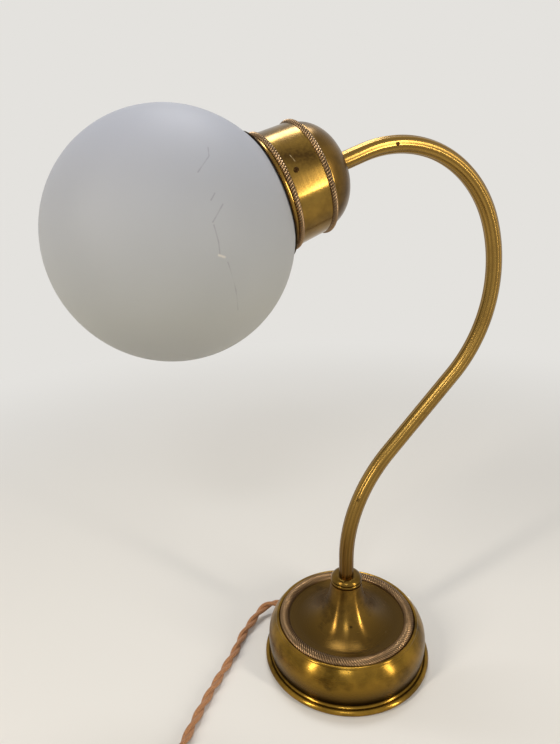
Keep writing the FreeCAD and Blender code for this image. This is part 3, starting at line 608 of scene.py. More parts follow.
class Finishes:
    """Every material of the lamp, made once."""

    def __init__(self) -> None:
        """Builds the materials."""
        # The skirt's and the dish's near-black patina, which also fills their lower parts, is partly patina and
        # partly painted dark reflection.
        self.skirt = AgedBrass(name="brass_spun_skirt", clean="#95722b", patina="#33250c", spun=0.88,
                               roughness=(0.18, 0.25), brown_span=(29.0, 9.0, 6.0)).build()
        self.dish = AgedBrass(name="brass_spun_dish", clean="#86662b", patina="#2a1e10", spun=0.92,
                              cloud_span=(0.34, 0.74), roughness=(0.17, 0.23),
                              brown_span=(56.0, 28.0, 20.0), scratches=(
                                  Mark((20.7, -30.1, 36.6), (23.1, -38.3, 36.6), 0.5, 0.6),), marks=(
                                      Mark((-7.4, -21.6, 44.1), (-6.4, -21.9, 44.0), 1.2, 1.2),)).build()
        self.collar = AgedBrass(name="brass_turned_collar", clean="#735824", patina="#3a2910",
                                roughness=(0.16, 0.26)).build()
        self.tube = AgedBrass(name="brass_drawn_reeded_tube", clean="#a17f3f", patina="#735628",
                              roughness=(0.19, 0.28), brown_span=(185.0, 85.0, 60.0),
                              axis=SpinAxis.NONE, groove=True, cloud_mm=30.0,
                              cloud_span=(0.45, 0.8), speck_mm=7.0, speck_limit=0.74, marks=(
                                  Mark((65.0, -4.2, 210.5), (66.0, -4.2, 211.5), 2.2, 2.0),
                                  Mark((40.2, -4.3, 195.0), (41.0, -4.3, 195.6), 2.0, 2.0),
                                  Mark((16.0, -4.3, 167.0), (16.8, -4.3, 168.4), 2.4, 2.2),
                                  Mark((7.6, -4.2, 147.0), (8.0, -4.2, 148.2), 1.8, 1.6),
                                  Mark((30.0, -4.8, 409.4), (30.9, -4.8, 409.0), 1.3, 1.0))).build()
        self.knurl = AgedBrass(name="brass_knurled_base", clean="#a78864", patina="#3f2d1b", groove=True).build()
        self.head_knurl = AgedBrass(name="brass_knurled_head", clean="#b0916c", patina="#3f2d1b",
                                    axis=SpinAxis.HEAD, groove=True, roughness=(0.2, 0.34)).build()
        # The gallery's broad brown band along its front is painted dark reflection.
        self.gallery = AgedBrass(name="brass_spun_gallery", clean="#957536", patina="#503b1c",
                                 axis=SpinAxis.HEAD, cloud_mm=22.0, cloud_span=(0.4, 0.8),
                                 roughness=(0.12, 0.2), speck_mm=2.6, speck_limit=0.69, spun=0.3, painted_dark_reflections=(
                                     Mark((-56.0, -30.5, 402.0), (-40.0, -31.5, 402.0), 13.0, 10.0),), scratches=(
                                     Mark((-53.4, -30.2, 402.6), (-51.3, -32.4, 399.3), 0.3, 0.5),)).build()
        self.dome = AgedBrass(name="brass_spun_dome", clean="#7a5c2a", patina="#33260f", axis=SpinAxis.HEAD,
                              cloud_mm=24.0, spun=0.4).build()
        self.opal = OpalGlass().build()
        self.cotton = BraidedCotton().build()
        plain = {
            "plain_brass": ("brass_turned_plain", "#c9a45e", "#a47f3e", 1.0, (0.25, 0.4)),
            "screw_brass": ("brass_screw_dulled", "#4a3318", "#1a1008", 1.0, (0.35, 0.6), 0.8),
            "cast_iron": ("iron_sand_cast", "#45433f", "#2b2a28", 1.0, (0.6, 0.8), 1.5, 0.6),
            "plate_steel": ("steel_zinc_plated", "#b4b5b2", "#8f918f", 1.0, (0.3, 0.45), 3.0),
            "felt": ("felt_pressed_wool", "#2f4a35", "#1c2e21", 0.0, (0.9, 1.0), 0.6, 0.6, 0.0, 0.4),
            "clear_glass": ("glass_blown_clear", "#f4f4f0", "#ecece8", 0.0, (0.02, 0.05), 20.0, 0.0, 1.0),
            "ceramic": ("steatite_glazed", "#ece9df", "#ddd9cd", 0.0, (0.15, 0.25), 4.0, 0.05),
            "white_plastic": ("urea_moulded_white", "#f0ede5", "#dcd8cc", 0.0, (0.22, 0.34), 6.0, 0.04),
            "dark_plastic": ("phenolic_moulded_dark", "#3a2a20", "#221812", 0.0, (0.25, 0.4), 4.0, 0.06),
            "spring_steel": ("steel_spring_wire", "#a5a6a4", "#858683", 1.0, (0.25, 0.35), 1.0, 0.05),
            "bush_plastic": ("nylon_moulded_bush", "#6b4a28", "#4a3119", 0.0, (0.4, 0.55), 2.0, 0.1),
            "wire_sheath": ("vinyl_extruded_sheath", "#a27a4e", "#86623c", 0.0, (0.4, 0.5), 3.0, 0.05),
            "tie_fabric": ("hook_and_loop_woven", "#2a2724", "#171513", 0.0, (0.8, 0.95), 0.9, 0.5, 0.0, 0.3),
        }
        self.by_slot = {slot: PlainFinish(*row).build() for slot, row in plain.items()}
        self.by_slot["braided_flex"] = self.cotton
        self.by_slot["opal_glass"] = self.opal
        self.by_slot["aged_brass"] = self.skirt


# Meshes
class Outline:
    """A closed outline of radius and height, drawn with lines and arcs."""

    def __init__(self, start: Point) -> None:
        """Starts the outline at a point."""
        self.points = [start]

    def line(self, *ends: Point) -> "Outline":
        """Adds straight runs to each end in turn."""
        self.points.extend(ends)
        return self

    def arc(self, through: Point, end: Point, step: float) -> "Outline":
        """Adds an arc.

        Args:
            through: A point on the arc.
            end: Where it ends.
            step: Degrees between its points.

        Returns:
            The outline itself.
        """
        (ax, ay), (bx, by), (cx, cy) = self.points[-1], through, end
        double = 2 * (ax * (by - cy) + bx * (cy - ay) + cx * (ay - by))
        sa, sb, sc = ax * ax + ay * ay, bx * bx + by * by, cx * cx + cy * cy
        ox = (sa * (by - cy) + sb * (cy - ay) + sc * (ay - by)) / double
        oy = (sa * (cx - bx) + sb * (ax - cx) + sc * (bx - ax)) / double
        radius = math.hypot(ax - ox, ay - oy)
        start = math.atan2(ay - oy, ax - ox)
        middle = (math.atan2(by - oy, bx - ox) - start) % (2 * math.pi)
        sweep = (math.atan2(cy - oy, cx - ox) - start) % (2 * math.pi)
        if middle > sweep:
            sweep -= 2 * math.pi
        count = max(2, math.ceil(abs(math.degrees(sweep)) / step))
        for k in range(1, count):
            angle = start + sweep * k / count
            self.points.append((ox + radius * math.cos(angle), oy + radius * math.sin(angle)))
        self.points.append(end)
        return self


def settle(mesh: Mesh, sharp: float = 35.0) -> Mesh:
    """Merges doubles, turns the faces outwards and shades smooth between sharp edges.

    Args:
        mesh: The mesh to finish.
        sharp: Edges bent further than this many degrees stay sharp.

    Returns:
        The same mesh.
    """
    work = bmesh.new()
    work.from_mesh(mesh)
    bmesh.ops.remove_doubles(work, verts=work.verts, dist=DOUBLES_M)
    bmesh.ops.recalc_face_normals(work, faces=work.faces)
    work.to_mesh(mesh)
    work.free()
    mesh.polygons.foreach_set("use_smooth", [True] * len(mesh.polygons))
    mesh.set_sharp_from_angle(angle=math.radians(sharp))
    mesh.update()
    return mesh


def lathe(name: str, outline: Outline, segments: int, frame: Matrix = Matrix.Identity(4)) -> Mesh:
    """Turns a closed outline about Z.

    Args:
        name: The mesh's name.
        outline: The outline, in millimetres.
        segments: Faces round the piece.
        frame: Where the turned piece goes, in millimetres.

    Returns:
        The mesh in metres, in the lamp's frame.
    """
    points = outline.points
    if math.dist(points[0], points[-1]) < TINY_MM:
        points = points[:-1]
    verts, rings = [], []
    for radius, height in points:
        count = segments if radius > TINY_MM else 1
        rings.append(range(len(verts), len(verts) + count))
        for k in range(count):
            angle = 2 * math.pi * k / segments
            verts.append(frame @ Vector((radius * math.cos(angle), radius * math.sin(angle), height)) * MM)
    faces = []
    for ring, after in zip(rings, rings[1:] + rings[:1]):
        if len(ring) == 1 and len(after) == 1:
            continue
        for k in range(segments):
            a, b = ring[k % len(ring)], ring[(k + 1) % len(ring)]
            c, d = after[(k + 1) % len(after)], after[k % len(after)]
            corners = [a, b, c, d]
            faces.append([v for i, v in enumerate(corners) if v not in corners[:i]])
    mesh = bpy.data.meshes.new(name)
    mesh.from_pydata(verts, [], faces)
    return settle(mesh)


def place_piece(name: str, mesh: Mesh, material: Material,
                nodes: tuple[str, ...] = (), body: str = "lamp") -> Object:
    """Puts a finished mesh in the scene as a piece of the lamp.

    Args:
        name: The piece's name.
        mesh: Its mesh, in the lamp's frame.
        material: Its finish.
        nodes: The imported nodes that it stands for.
        body: The body that it rides on, or nothing for a piece that is to bend between two.

    Returns:
        The new object.
    """
    piece = put(name, mesh)
    mesh.materials.clear()
    mesh.materials.append(material)
    if body:
        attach(piece, body)
    if nodes:
        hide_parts(*nodes)
    LOG.info("%s: %d faces for %s", name, len(mesh.polygons), ", ".join(nodes) or "no node")
    return piece


# Geometry node trees
def start_tree(name: str, sizes: tuple[str, ...], counts: tuple[str, ...]) -> tuple[Tree, dict[str, Link]]:
    """Starts a geometry node tree with named inputs, to which it adds Geometry and Finish.

    Args:
        name: The tree's name.
        sizes: Its inputs that are lengths or shares.
        counts: Its inputs that are whole numbers.

    Returns:
        The tree and its inputs' sockets by name.
    """
    tree = bpy.data.node_groups.new(name, "GeometryNodeTree")
    kinds = {"Geometry": "Geometry", **dict.fromkeys(sizes, "Float"), **dict.fromkeys(counts, "Int"),
             "Finish": "Material"}
    for label, kind in kinds.items():
        tree.interface.new_socket(label, in_out="INPUT", socket_type="NodeSocket" + kind)
    tree.interface.new_socket("Geometry", in_out="OUTPUT", socket_type="NodeSocketGeometry")
    return tree, {socket.name: socket for socket in add(tree, "NodeGroupInput").outputs}


def close_tree(tree: Tree, grown: Link, finish: Link) -> None:
    """Ends a tree by realising its instances and setting its material.

    Args:
        tree: The tree.
        grown: The geometry so far.
        finish: The tree's Finish input.
    """
    real = add(tree, "GeometryNodeRealizeInstances", {0: grown})
    dressed = add(tree, "GeometryNodeSetMaterial", {"Geometry": real, "Material": finish})
    add(tree, "NodeGroupOutput", {0: dressed})


def grow(name: str, tree: Tree, values: dict[str, Any], source: Optional[Mesh] = None) -> Mesh:
    """Runs a tree and keeps its result as a plain mesh.

    Args:
        name: The mesh's name.
        tree: The geometry node tree.
        values: The inputs to set, by name.
        source: The mesh that the tree starts from, if it needs one.

    Returns:
        The grown mesh.
    """
    holder = put(name + "_holder", source or bpy.data.meshes.new(name + "_holder"))
    modifier = holder.modifiers.new("grow", "NODES")
    modifier.node_group = tree
    sockets = {item.name: item.identifier for item in tree.interface.items_tree if item.in_out == "INPUT"}
    for label, value in values.items():
        modifier[sockets[label]] = value
    graph = bpy.context.evaluated_depsgraph_get()
    mesh = bpy.data.meshes.new_from_object(holder.evaluated_get(graph), preserve_all_data_layers=True,
                                           depsgraph=graph)
    mesh.name = name
    bpy.data.objects.remove(holder)
    return mesh


def reeded_tube_tree() -> Tree:
    """A tree that sweeps a reeded round section along a line of edges.

    Returns:
        The tree.
    """
    tree, links = start_tree("reeded_tube", ("Radius", "Depth"), ("Reeds",))
    per_reed = 14  # points round the section for each reed
    groove_patina_and_shade_share = 0.4  # how far the bottom of a groove is tinted, as patina and painted shade
    links = add_rows(tree, "Math", {**links, "index": add(tree, "GeometryNodeInputIndex")}, {
        "around": ("MULTIPLY", "Reeds", per_reed),
        "phase": ("MULTIPLY", "index", math.pi / per_reed),
        "wave": ("COSINE", "phase"),
        "groove": ("MULTIPLY", "wave", "wave"),
        "groove_patina_and_shade": ("MULTIPLY", "groove", groove_patina_and_shade_share),
        "sunk": ("MULTIPLY", "groove", "Depth"),
        "inward": ("MULTIPLY", "sunk", -1.0)})
    out = add(tree, "VectorMath", {0: add(tree, "GeometryNodeInputPosition")}, operation="NORMALIZE")
    ring = add(tree, "GeometryNodeCurvePrimitiveCircle", {"Resolution": links["around"], "Radius": links["Radius"]})
    shift = add(tree, "VectorMath", {0: out, "Scale": links["inward"]}, operation="SCALE")
    section = add(tree, "GeometryNodeSetPosition", {"Geometry": ring, "Offset": shift})
    # The stored groove tints the reeds' hollows with patina and painted shade.
    patina_and_shade_marked = add(tree, "GeometryNodeStoreNamedAttribute",
                {"Geometry": section, "Name": "groove", "Value": links["groove_patina_and_shade"]}, data_type="FLOAT", domain="POINT")
    line = add(tree, "GeometryNodeMeshToCurve", {0: links["Geometry"]})
    tube = add(tree, "GeometryNodeCurveToMesh", {"Curve": line, "Profile Curve": patina_and_shade_marked, "Fill Caps": True})
    close_tree(tree, tube, links["Finish"])
    return tree


def rope_bead_tree() -> Tree:
    """A tree that makes a half-round bead about Z, cut all over with slanting rope grooves.

    Returns:
        The tree.
    """
    tree, links = start_tree("rope_bead", ("Radius", "Height", "Slant", "Depth", "Across Radial", "Across Axial",
                                           "Rise Radial", "Rise Axial"), ("Strands",))
    per_strand, over = 8, 26  # points along each strand's share of the ring, and over the bead
    past_end = 1.001  # the last row lies past this, and goes back to the start to close the bead's flat side
    points = add(tree, "Math", {0: links["Strands"], 1: per_strand, 2: 1.0}, operation="MULTIPLY_ADD")
    grid = add(tree, "GeometryNodeMeshGrid", {"Size X": 1.0, "Size Y": 1.0, "Vertices X": points,
                                              "Vertices Y": over})
    x, y, _ = add(tree, "SeparateXYZ", {0: add(tree, "GeometryNodeInputPosition")}).outputs
    links = add_rows(tree, "Math", {**links, "x": x, "y": y}, {
        "along": ("ADD", "x", 0.5),
        "across": ("ADD", "y", 0.5),
        "stretched": ("MULTIPLY", "across", (over - 1) / (over - 2)),
        "inside": ("LESS_THAN", "stretched", past_end),
        "share": ("MULTIPLY", "stretched", "inside"),
        "swing": ("MULTIPLY", "share", math.pi),
        "sine": ("SINE", "swing"),
        "cosine": ("COSINE", "swing"),
        "half_turns": ("MULTIPLY", "Strands", math.pi),
        "lean": ("MULTIPLY", "share", "Slant"),
        "phase": ("MULTIPLY_ADD", "along", "half_turns", "lean"),
        "wave": ("SINE", "phase"),
        "crest": ("ABSOLUTE", "wave"),
        "groove": ("SUBTRACT", 1.0, "crest"),
        "deep": ("MULTIPLY", "groove", "Depth"),
        "faded": ("MULTIPLY", "deep", "sine"),
        "size": ("SUBTRACT", 1.0, "faded"),
        "side_radial": ("MULTIPLY", "cosine", "Across Radial"),
        "both_radial": ("MULTIPLY_ADD", "sine", "Rise Radial", "side_radial"),
        "radius": ("MULTIPLY_ADD", "both_radial", "size", "Radius"),
        "side_axial": ("MULTIPLY", "cosine", "Across Axial"),
        "both_axial": ("MULTIPLY_ADD", "sine", "Rise Axial", "side_axial"),
        "height": ("MULTIPLY_ADD", "both_axial", "size", "Height"),
        "angle": ("MULTIPLY", "along", 2 * math.pi),
        "east": ("COSINE", "angle"),
        "north": ("SINE", "angle"),
        "final_x": ("MULTIPLY", "east", "radius"),
        "final_y": ("MULTIPLY", "north", "radius")})
    target = add(tree, "CombineXYZ", {0: links["final_x"], 1: links["final_y"], 2: links["height"]})
    # The stored groove tints the rope's hollows with patina and painted shade.
    patina_and_shade_marked = add(tree, "GeometryNodeStoreNamedAttribute",
                {"Geometry": grid, "Name": "groove", "Value": links["groove"]}, data_type="FLOAT", domain="POINT")
    bent = add(tree, "GeometryNodeSetPosition", {"Geometry": patina_and_shade_marked, "Position": target})
    joined = add(tree, "GeometryNodeMergeByDistance", {"Geometry": bent, "Distance": BEAD_WELD_M})
    close_tree(tree, joined, links["Finish"])
    return tree


@dataclass(frozen=True)
class Rope:
    """How a rope bead is cut: strands round it, their lean, and their depth as a share of the bead's size."""

    strands: int
    slant: float
    depth: float

    def bead(self, name: str, tree: Tree, finish: Material, middle: Point, across: Point, rise: Point) -> Mesh:
        """Makes one bead about Z.

        Args:
            name: The mesh's name.
            tree: The rope bead tree.
            finish: Its finish.
            middle: Radius and height of its middle, in millimetres, as the next two are.
            across: Half of its width.
            rise: How far it stands out.

        Returns:
            The mesh in metres, not yet settled.
        """
        sizes = {"Radius": middle[0], "Height": middle[1], "Across Radial": across[0], "Across Axial": across[1],
                 "Rise Radial": rise[0], "Rise Axial": rise[1]}
        return grow(name, tree, {"Strands": self.strands, "Slant": self.slant, "Depth": self.depth, "Finish": finish,
                                 **{label: size * MM for label, size in sizes.items()}})


# Sub-assemblies
@dataclass
class Base:
    """The round base: spun skirt with its rolled foot, dish with its trumpet neck, rope bead and collar."""

    sheet: float = 1.2
    roll_r: float = 2.5
    roll_centre: Point = (66.6, 3.1)
    flare: Point = (63.9, 5.8)
    waist: Point = (63.7, 7.2)
    belly: Point = (65.6, 15.5)
    top: Point = (65.3, 24.5)
    shoulder: Point = (63.3, 31.0)
    shoulder_end: Point = (59.2, 36.3)
    crest: Point = (58.1, 37.9)
    seat_edge: Point = (56.7, 35.4)
    seat_inner_r: float = 48.0
    neck_top: Point = (12.8, 71.0)
    neck_bore_r: float = 6.4
    neck_heading: float = -88.0
    neck_bends: tuple[Point, ...] = ((48.0, 27.0), (27.0, 58.0))  # each bend's radius and degrees
    neck_steps: int = 14
    dish_edge_r: float = 56.2
    bead_mid_r: float = 52.0
    bead_half: float = 4.2
    bead_rise: float = 3.8
    bead_gap: float = 0.3
    rope: Rope = Rope(160, 12.0, 0.3)
    collar_r: float = 12.6
    collar_bore_r: float = 6.08
    collar_groove_r: float = 11.2
    collar_steps: Place = (2.6, 1.0, 3.8)  # heights of the lower ring, the groove and the upper ring
    collar_round: float = 5.2
    collar_bulge: Point = (0.72, 0.3)  # where the upper ring's arc passes, as shares of its width and height

    def skirt(self) -> Mesh:
        """The skirt from its seat over the ridge and shoulder to its rolled foot, as one closed shell.

        Returns:
            The mesh, in the lamp's frame.
        """
        wall, low = self.sheet, self.seat_edge[1] - self.sheet
        (cx, cz), roll = self.roll_centre, self.roll_r
        side = roll * math.sqrt(1 / 2)
        line = Outline((self.seat_inner_r, self.seat_edge[1])).line(self.seat_edge)
        line.arc(self.crest, self.shoulder_end, step=15).arc(self.shoulder, self.top, step=4)
        line.arc(self.belly, self.waist, step=2).arc(self.flare, (cx - side, cz + side), step=6)
        line.arc((cx + roll, cz), (cx, cz - roll), step=12)
        line.arc((cx - side, cz - side), (cx - roll, cz), step=12)
        line.line((self.waist[0] - wall, self.waist[1]))
        line.arc((self.belly[0] - wall, self.belly[1]), (self.top[0] - wall, self.top[1]), step=3)
        line.arc((self.shoulder[0] - wall, self.shoulder[1] - wall / 2), (self.shoulder_end[0], low), step=6)
        line.line((self.seat_inner_r, low))
        return lathe("skirt_spun", line, segments=240)

    def trumpet(self, inset: float) -> list[Point]:
        """The trumpet's curve from the neck down, moved inwards.

        Args:
            inset: How far inwards, in millimetres.

        Returns:
            The curve's points.
        """
        (x, z), heading = self.neck_top, self.neck_heading
        bends = [(radius, turn / self.neck_steps) for radius, turn in self.neck_bends for _ in range(self.neck_steps)]
        points = []
        for radius, turn in bends + [(0.0, 0.0)]:
            angle = math.radians(heading)
            points.append((x + math.sin(angle) * inset, z - math.cos(angle) * inset))
            chord = 2 * radius * math.sin(math.radians(turn / 2))
            middle = math.radians(heading + turn / 2)
            x, z = x + math.cos(middle) * chord, z + math.sin(middle) * chord
            heading += turn
        return points

    def dish(self) -> Mesh:
        """The dish and its neck, one sheet.

        Returns:
            The mesh, in the lamp's frame.
        """
        rim = self.seat_edge[1] + self.sheet
        inner_r = self.bead_mid_r - self.bead_half - self.bead_gap
        line = Outline((self.neck_bore_r, self.neck_top[1])).line(*self.trumpet(0.0))
        line.line((inner_r, rim), (self.dish_edge_r, rim), (self.dish_edge_r, rim - self.sheet),
                  (inner_r, rim - self.sheet), *reversed(self.trumpet(self.sheet)))
        line.line((self.neck_bore_r, self.neck_top[1] - self.sheet))
        return lathe("dish_spun", line, segments=240)

    def collar(self) -> Mesh:
        """The two-ring collar round the tube's foot.

        Returns:
            The mesh, in the lamp's frame.
        """
        z = self.neck_top[1]
        foot, gap, ring = self.collar_steps
        bulge, bore, (wide, tall) = gap / 2, self.collar_bore_r, self.collar_bulge
        line = Outline((bore, z)).line((self.collar_r - bulge, z))
        line.arc((self.collar_r, z + foot / 2), (self.collar_r - bulge, z + foot), step=15)
        line.line((self.collar_groove_r, z + foot), (self.collar_groove_r, z + foot + gap),
                  (self.collar_r - bulge, z + foot + gap), (self.collar_r, z + foot + gap + bulge))
        top, edge = z + foot + gap + ring, self.collar_r - self.collar_round
        line.arc((edge + self.collar_round * wide, top - ring * tall), (edge, top), step=6).line((bore, top))
        return lathe("collar_turned", line, segments=96)

    def dress(self, finishes: Finishes, rope: Tree) -> None:
        """Builds and places the base's pieces.

        Args:
            finishes: The lamp's materials.
            rope: The rope bead tree.
        """
        bead = self.rope.bead("base_rope_bead", rope, finishes.knurl,
                              (self.bead_mid_r, self.seat_edge[1] + self.sheet), (self.bead_half, 0.0),
                              (0.0, self.bead_rise))
        for name, mesh, finish, node in (
                ("skirt_spun", self.skirt(), finishes.skirt, "base_skirt"),
                ("dish_spun", self.dish(), finishes.dish, "base_dish"),
                ("collar_turned", self.collar(), finishes.collar, "base_collar"),
                ("base_rope_bead", settle(bead, sharp=BEAD_SHARP), finishes.knurl, "knurled_base_ring")):
            place_piece(name, mesh, finish, (node,))


@dataclass
class Stem:
    """The reeded S-shaped tube."""

    radius: float = 6.0
    reeds: int = 13
    reed_depth: float = 0.24

    def dress(self, finishes: Finishes) -> None:
        """Sweeps the reeded section along the tube's path and places it.

        Args:
            finishes: The lamp's materials.
        """
        points, _ = STEM.walk()
        line = bpy.data.meshes.new("stem_line")
        line.from_pydata([point * MM for point in points], [(k, k + 1) for k in range(len(points) - 1)], [])
        mesh = grow("tube_reeded", reeded_tube_tree(), {
            "Reeds": self.reeds, "Radius": self.radius * MM, "Depth": self.reed_depth * MM,
            "Finish": finishes.tube}, line)
        place_piece("tube_reeded", settle(mesh, sharp=TUBE_SHARP), finishes.tube, ("stem_tube",))


@dataclass
class Head:
    """The gallery with its lip, two rope beads, dome and glass globe, drawn about the head's axis."""

    globe_r: float = 75.0
    glass: float = 2.8
    glass_neck_r: float = 33.4
    glass_neck_end: float = 82.0
    glass_lip: Point = (34.7, 2.6)
    sheet: float = 1.0
    lip_edge: Point = (40.9, 64.4)
    lip_root: Point = (36.7, 68.4)
    body_rear: Point = (35.4, 97.0)
    flange: float = 5.0
    dome_foot_r: float = 34.4
    dome_belly: Point = (28.2, 109.4)
    dome_flat_r: float = 8.0
    crown_bore_r: float = 5.98
    bead_half: float = 1.9
    bead_rise: float = 1.5
    rope: Rope = Rope(124, 4.0, 0.55)  # about 160 strands in the photograph, drawn coarser so that they show
    front_bead_at: float = 70.075
    rear_bead_at: float = 94.725
    screws: int = 3
    screw_at: float = 76.6
    screw_r: float = 1.6
    screw_first: float = 71.0
    screw_proud: float = 0.3
    screw_arc: Point = (0.72, 0.08)  # where its head's arc passes: share of the radius, and depth below the top
    screw_slot: Point = (0.35, 0.4)  # radius and depth

    def body_r(self, at: float) -> float:
        """The body's outer radius at a place along the axis."""
        (front_r, front), (rear_r, rear) = self.lip_root, self.body_rear
        return front_r + (rear_r - front_r) * (at - front) / (rear - front)

    def gallery(self) -> Mesh:
        """The body and its flared lip.

        Returns:
            The mesh, in the lamp's frame.
        """
        wall = self.sheet
        (edge_r, edge), (root_r, root), (rear_r, rear) = self.lip_edge, self.lip_root, self.body_rear
        middle = (edge + root) / 2
        line = Outline((edge_r, edge)).arc((root_r + wall / 2, middle), (root_r, root), step=8)
        line.line((rear_r, rear), (rear_r - self.flange, rear), (rear_r - self.flange, rear - wall),
                  (rear_r - wall, rear - wall), (root_r - wall, root))
        line.arc((root_r - wall / 2, middle), (edge_r - wall, edge), step=8)
        return lathe("gallery_spun", line, 200, HEAD)

    def dome(self) -> Mesh:
        """The rear dome with its flat crown.

        Returns:
            The mesh, in the lamp's frame.
        """
        inset, wall, rear = self.sheet * math.sqrt(1 / 2), self.sheet, self.body_rear[1]
        line = Outline((self.dome_foot_r, rear))
        line.arc(self.dome_belly, (self.dome_flat_r, DOME_TOP_AT), step=4)
        line.line((self.crown_bore_r, DOME_TOP_AT), (self.crown_bore_r, DOME_TOP_AT - wall),
                  (self.dome_flat_r, DOME_TOP_AT - wall))
        line.arc((self.dome_belly[0] - inset, self.dome_belly[1] - inset), (self.dome_foot_r - wall, rear), step=6)
        return lathe("dome_spun", line, 160, HEAD)

    def globe(self) -> Mesh:
        """The blown globe with its neck and lip, hollow.

        Returns:
            The mesh, in the lamp's frame.
        """
        neck_r, inner_r = self.glass_neck_r, self.globe_r - self.glass
        inner_neck = neck_r - self.glass
        lip_r, lip_h = self.glass_lip
        low = self.glass_neck_end - lip_h
        line = Outline((0.0, -self.globe_r))
        line.arc((self.globe_r, 0.0), (neck_r, math.sqrt(self.globe_r ** 2 - neck_r ** 2)), step=2.5)
        line.line((neck_r, low), (lip_r, low + lip_h / 2), (lip_r, self.glass_neck_end),
                  (inner_neck, self.glass_neck_end), (inner_neck, math.sqrt(inner_r ** 2 - inner_neck ** 2)))
        line.arc((inner_r, 0.0), (0.0, -inner_r), step=5)
        return lathe("globe_blown", line, 192, HEAD)

    def bead(self, name: str, at: float, tree: Tree, finish: Material) -> Mesh:
        """One rope bead round the body.

        Args:
            name: The mesh's name.
            at: Its place along the axis.
            tree: The rope bead tree.
            finish: Its finish.

        Returns:
            The mesh in the lamp's frame.
        """
        slope = (self.body_r(at + 1) - self.body_r(at)) * self.bead_half
        mesh = self.rope.bead(name, tree, finish, (self.body_r(at), at), (-slope, -self.bead_half),
                              (self.bead_rise, 0.0))
        mesh.transform(Matrix.Scale(MM, 4) @ HEAD @ Matrix.Scale(1 / MM, 4))
        return settle(mesh, sharp=BEAD_SHARP)

    def screw_set(self) -> Mesh:
        """The small screws that hold the globe's neck, each with its slot.

        Returns:
            The mesh, in the lamp's frame.
        """
        parts = bmesh.new()
        low, top = self.glass_neck_r + self.screw_proud, self.lip_root[0] + self.screw_proud
        (share, drop), (slot_r, slot_deep) = self.screw_arc, self.screw_slot
        for k in range(self.screws):
            angle = math.radians(self.screw_first + 360 / self.screws * k)
            out = Vector((-math.cos(angle), -math.sin(angle), 0))
            turn = out.to_track_quat("Z", "Y").to_matrix().to_4x4()
            line = Outline((0.0, low)).line((self.screw_r, low), (self.screw_r, top - self.screw_proud))
            line.arc((self.screw_r * share, top - drop), (slot_r, top), step=5)
            line.line((slot_r, top - slot_deep), (0.0, top - slot_deep))
            frame = HEAD @ Matrix.Translation((0, 0, self.screw_at)) @ turn
            one = lathe("screw", line, 24, frame)
            parts.from_mesh(one)
            bpy.data.meshes.remove(one)
        mesh = bpy.data.meshes.new("globe_screws_slotted")
        parts.to_mesh(mesh)
        parts.free()
        return settle(mesh)

    def dress(self, finishes: Finishes, rope: Tree) -> None:
        """Builds and places the head's pieces.

        Args:
            finishes: The lamp's materials.
            rope: The rope bead tree.
        """
        knurl = finishes.head_knurl
        front = self.bead("head_bead_front", self.front_bead_at, rope, knurl)
        rear = self.bead("head_bead_rear", self.rear_bead_at, rope, knurl)
        for name, mesh, finish, slot, node in (
                ("gallery_spun", self.gallery(), finishes.gallery, "aged_brass", "gallery_body"),
                ("dome_spun", self.dome(), finishes.dome, "aged_brass", "dome_cap"),
                ("globe_blown", self.globe(), finishes.opal, "opal_glass", "glass_globe"),
                ("head_bead_front", front, knurl, "aged_brass", "knurled_ring_front"),
                ("head_bead_rear", rear, knurl, "aged_brass", "knurled_ring_rear"),
                ("globe_screws_slotted", self.screw_set(), finishes.by_slot["screw_brass"], "screw_brass",
                 "globe_screws")):
            place_piece(name, mesh, finish, (node,))


@dataclass
class Switch:
    """The push switch's spring, which shortens between the housing and the button as that goes in."""

    outward: Place = (0.98427, 0.17355, 0.03302)

    def dress(self, packed: Object, finishes: Finishes) -> None:
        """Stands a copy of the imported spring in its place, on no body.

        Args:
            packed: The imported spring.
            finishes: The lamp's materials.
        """
        mesh = packed.data.copy()
        mesh.name = "spring_wound"
        piece = place_piece("spring_wound", settle(mesh), finishes.by_slot["spring_steel"],
                            ("switch_spring",), body="")
        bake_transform(piece)


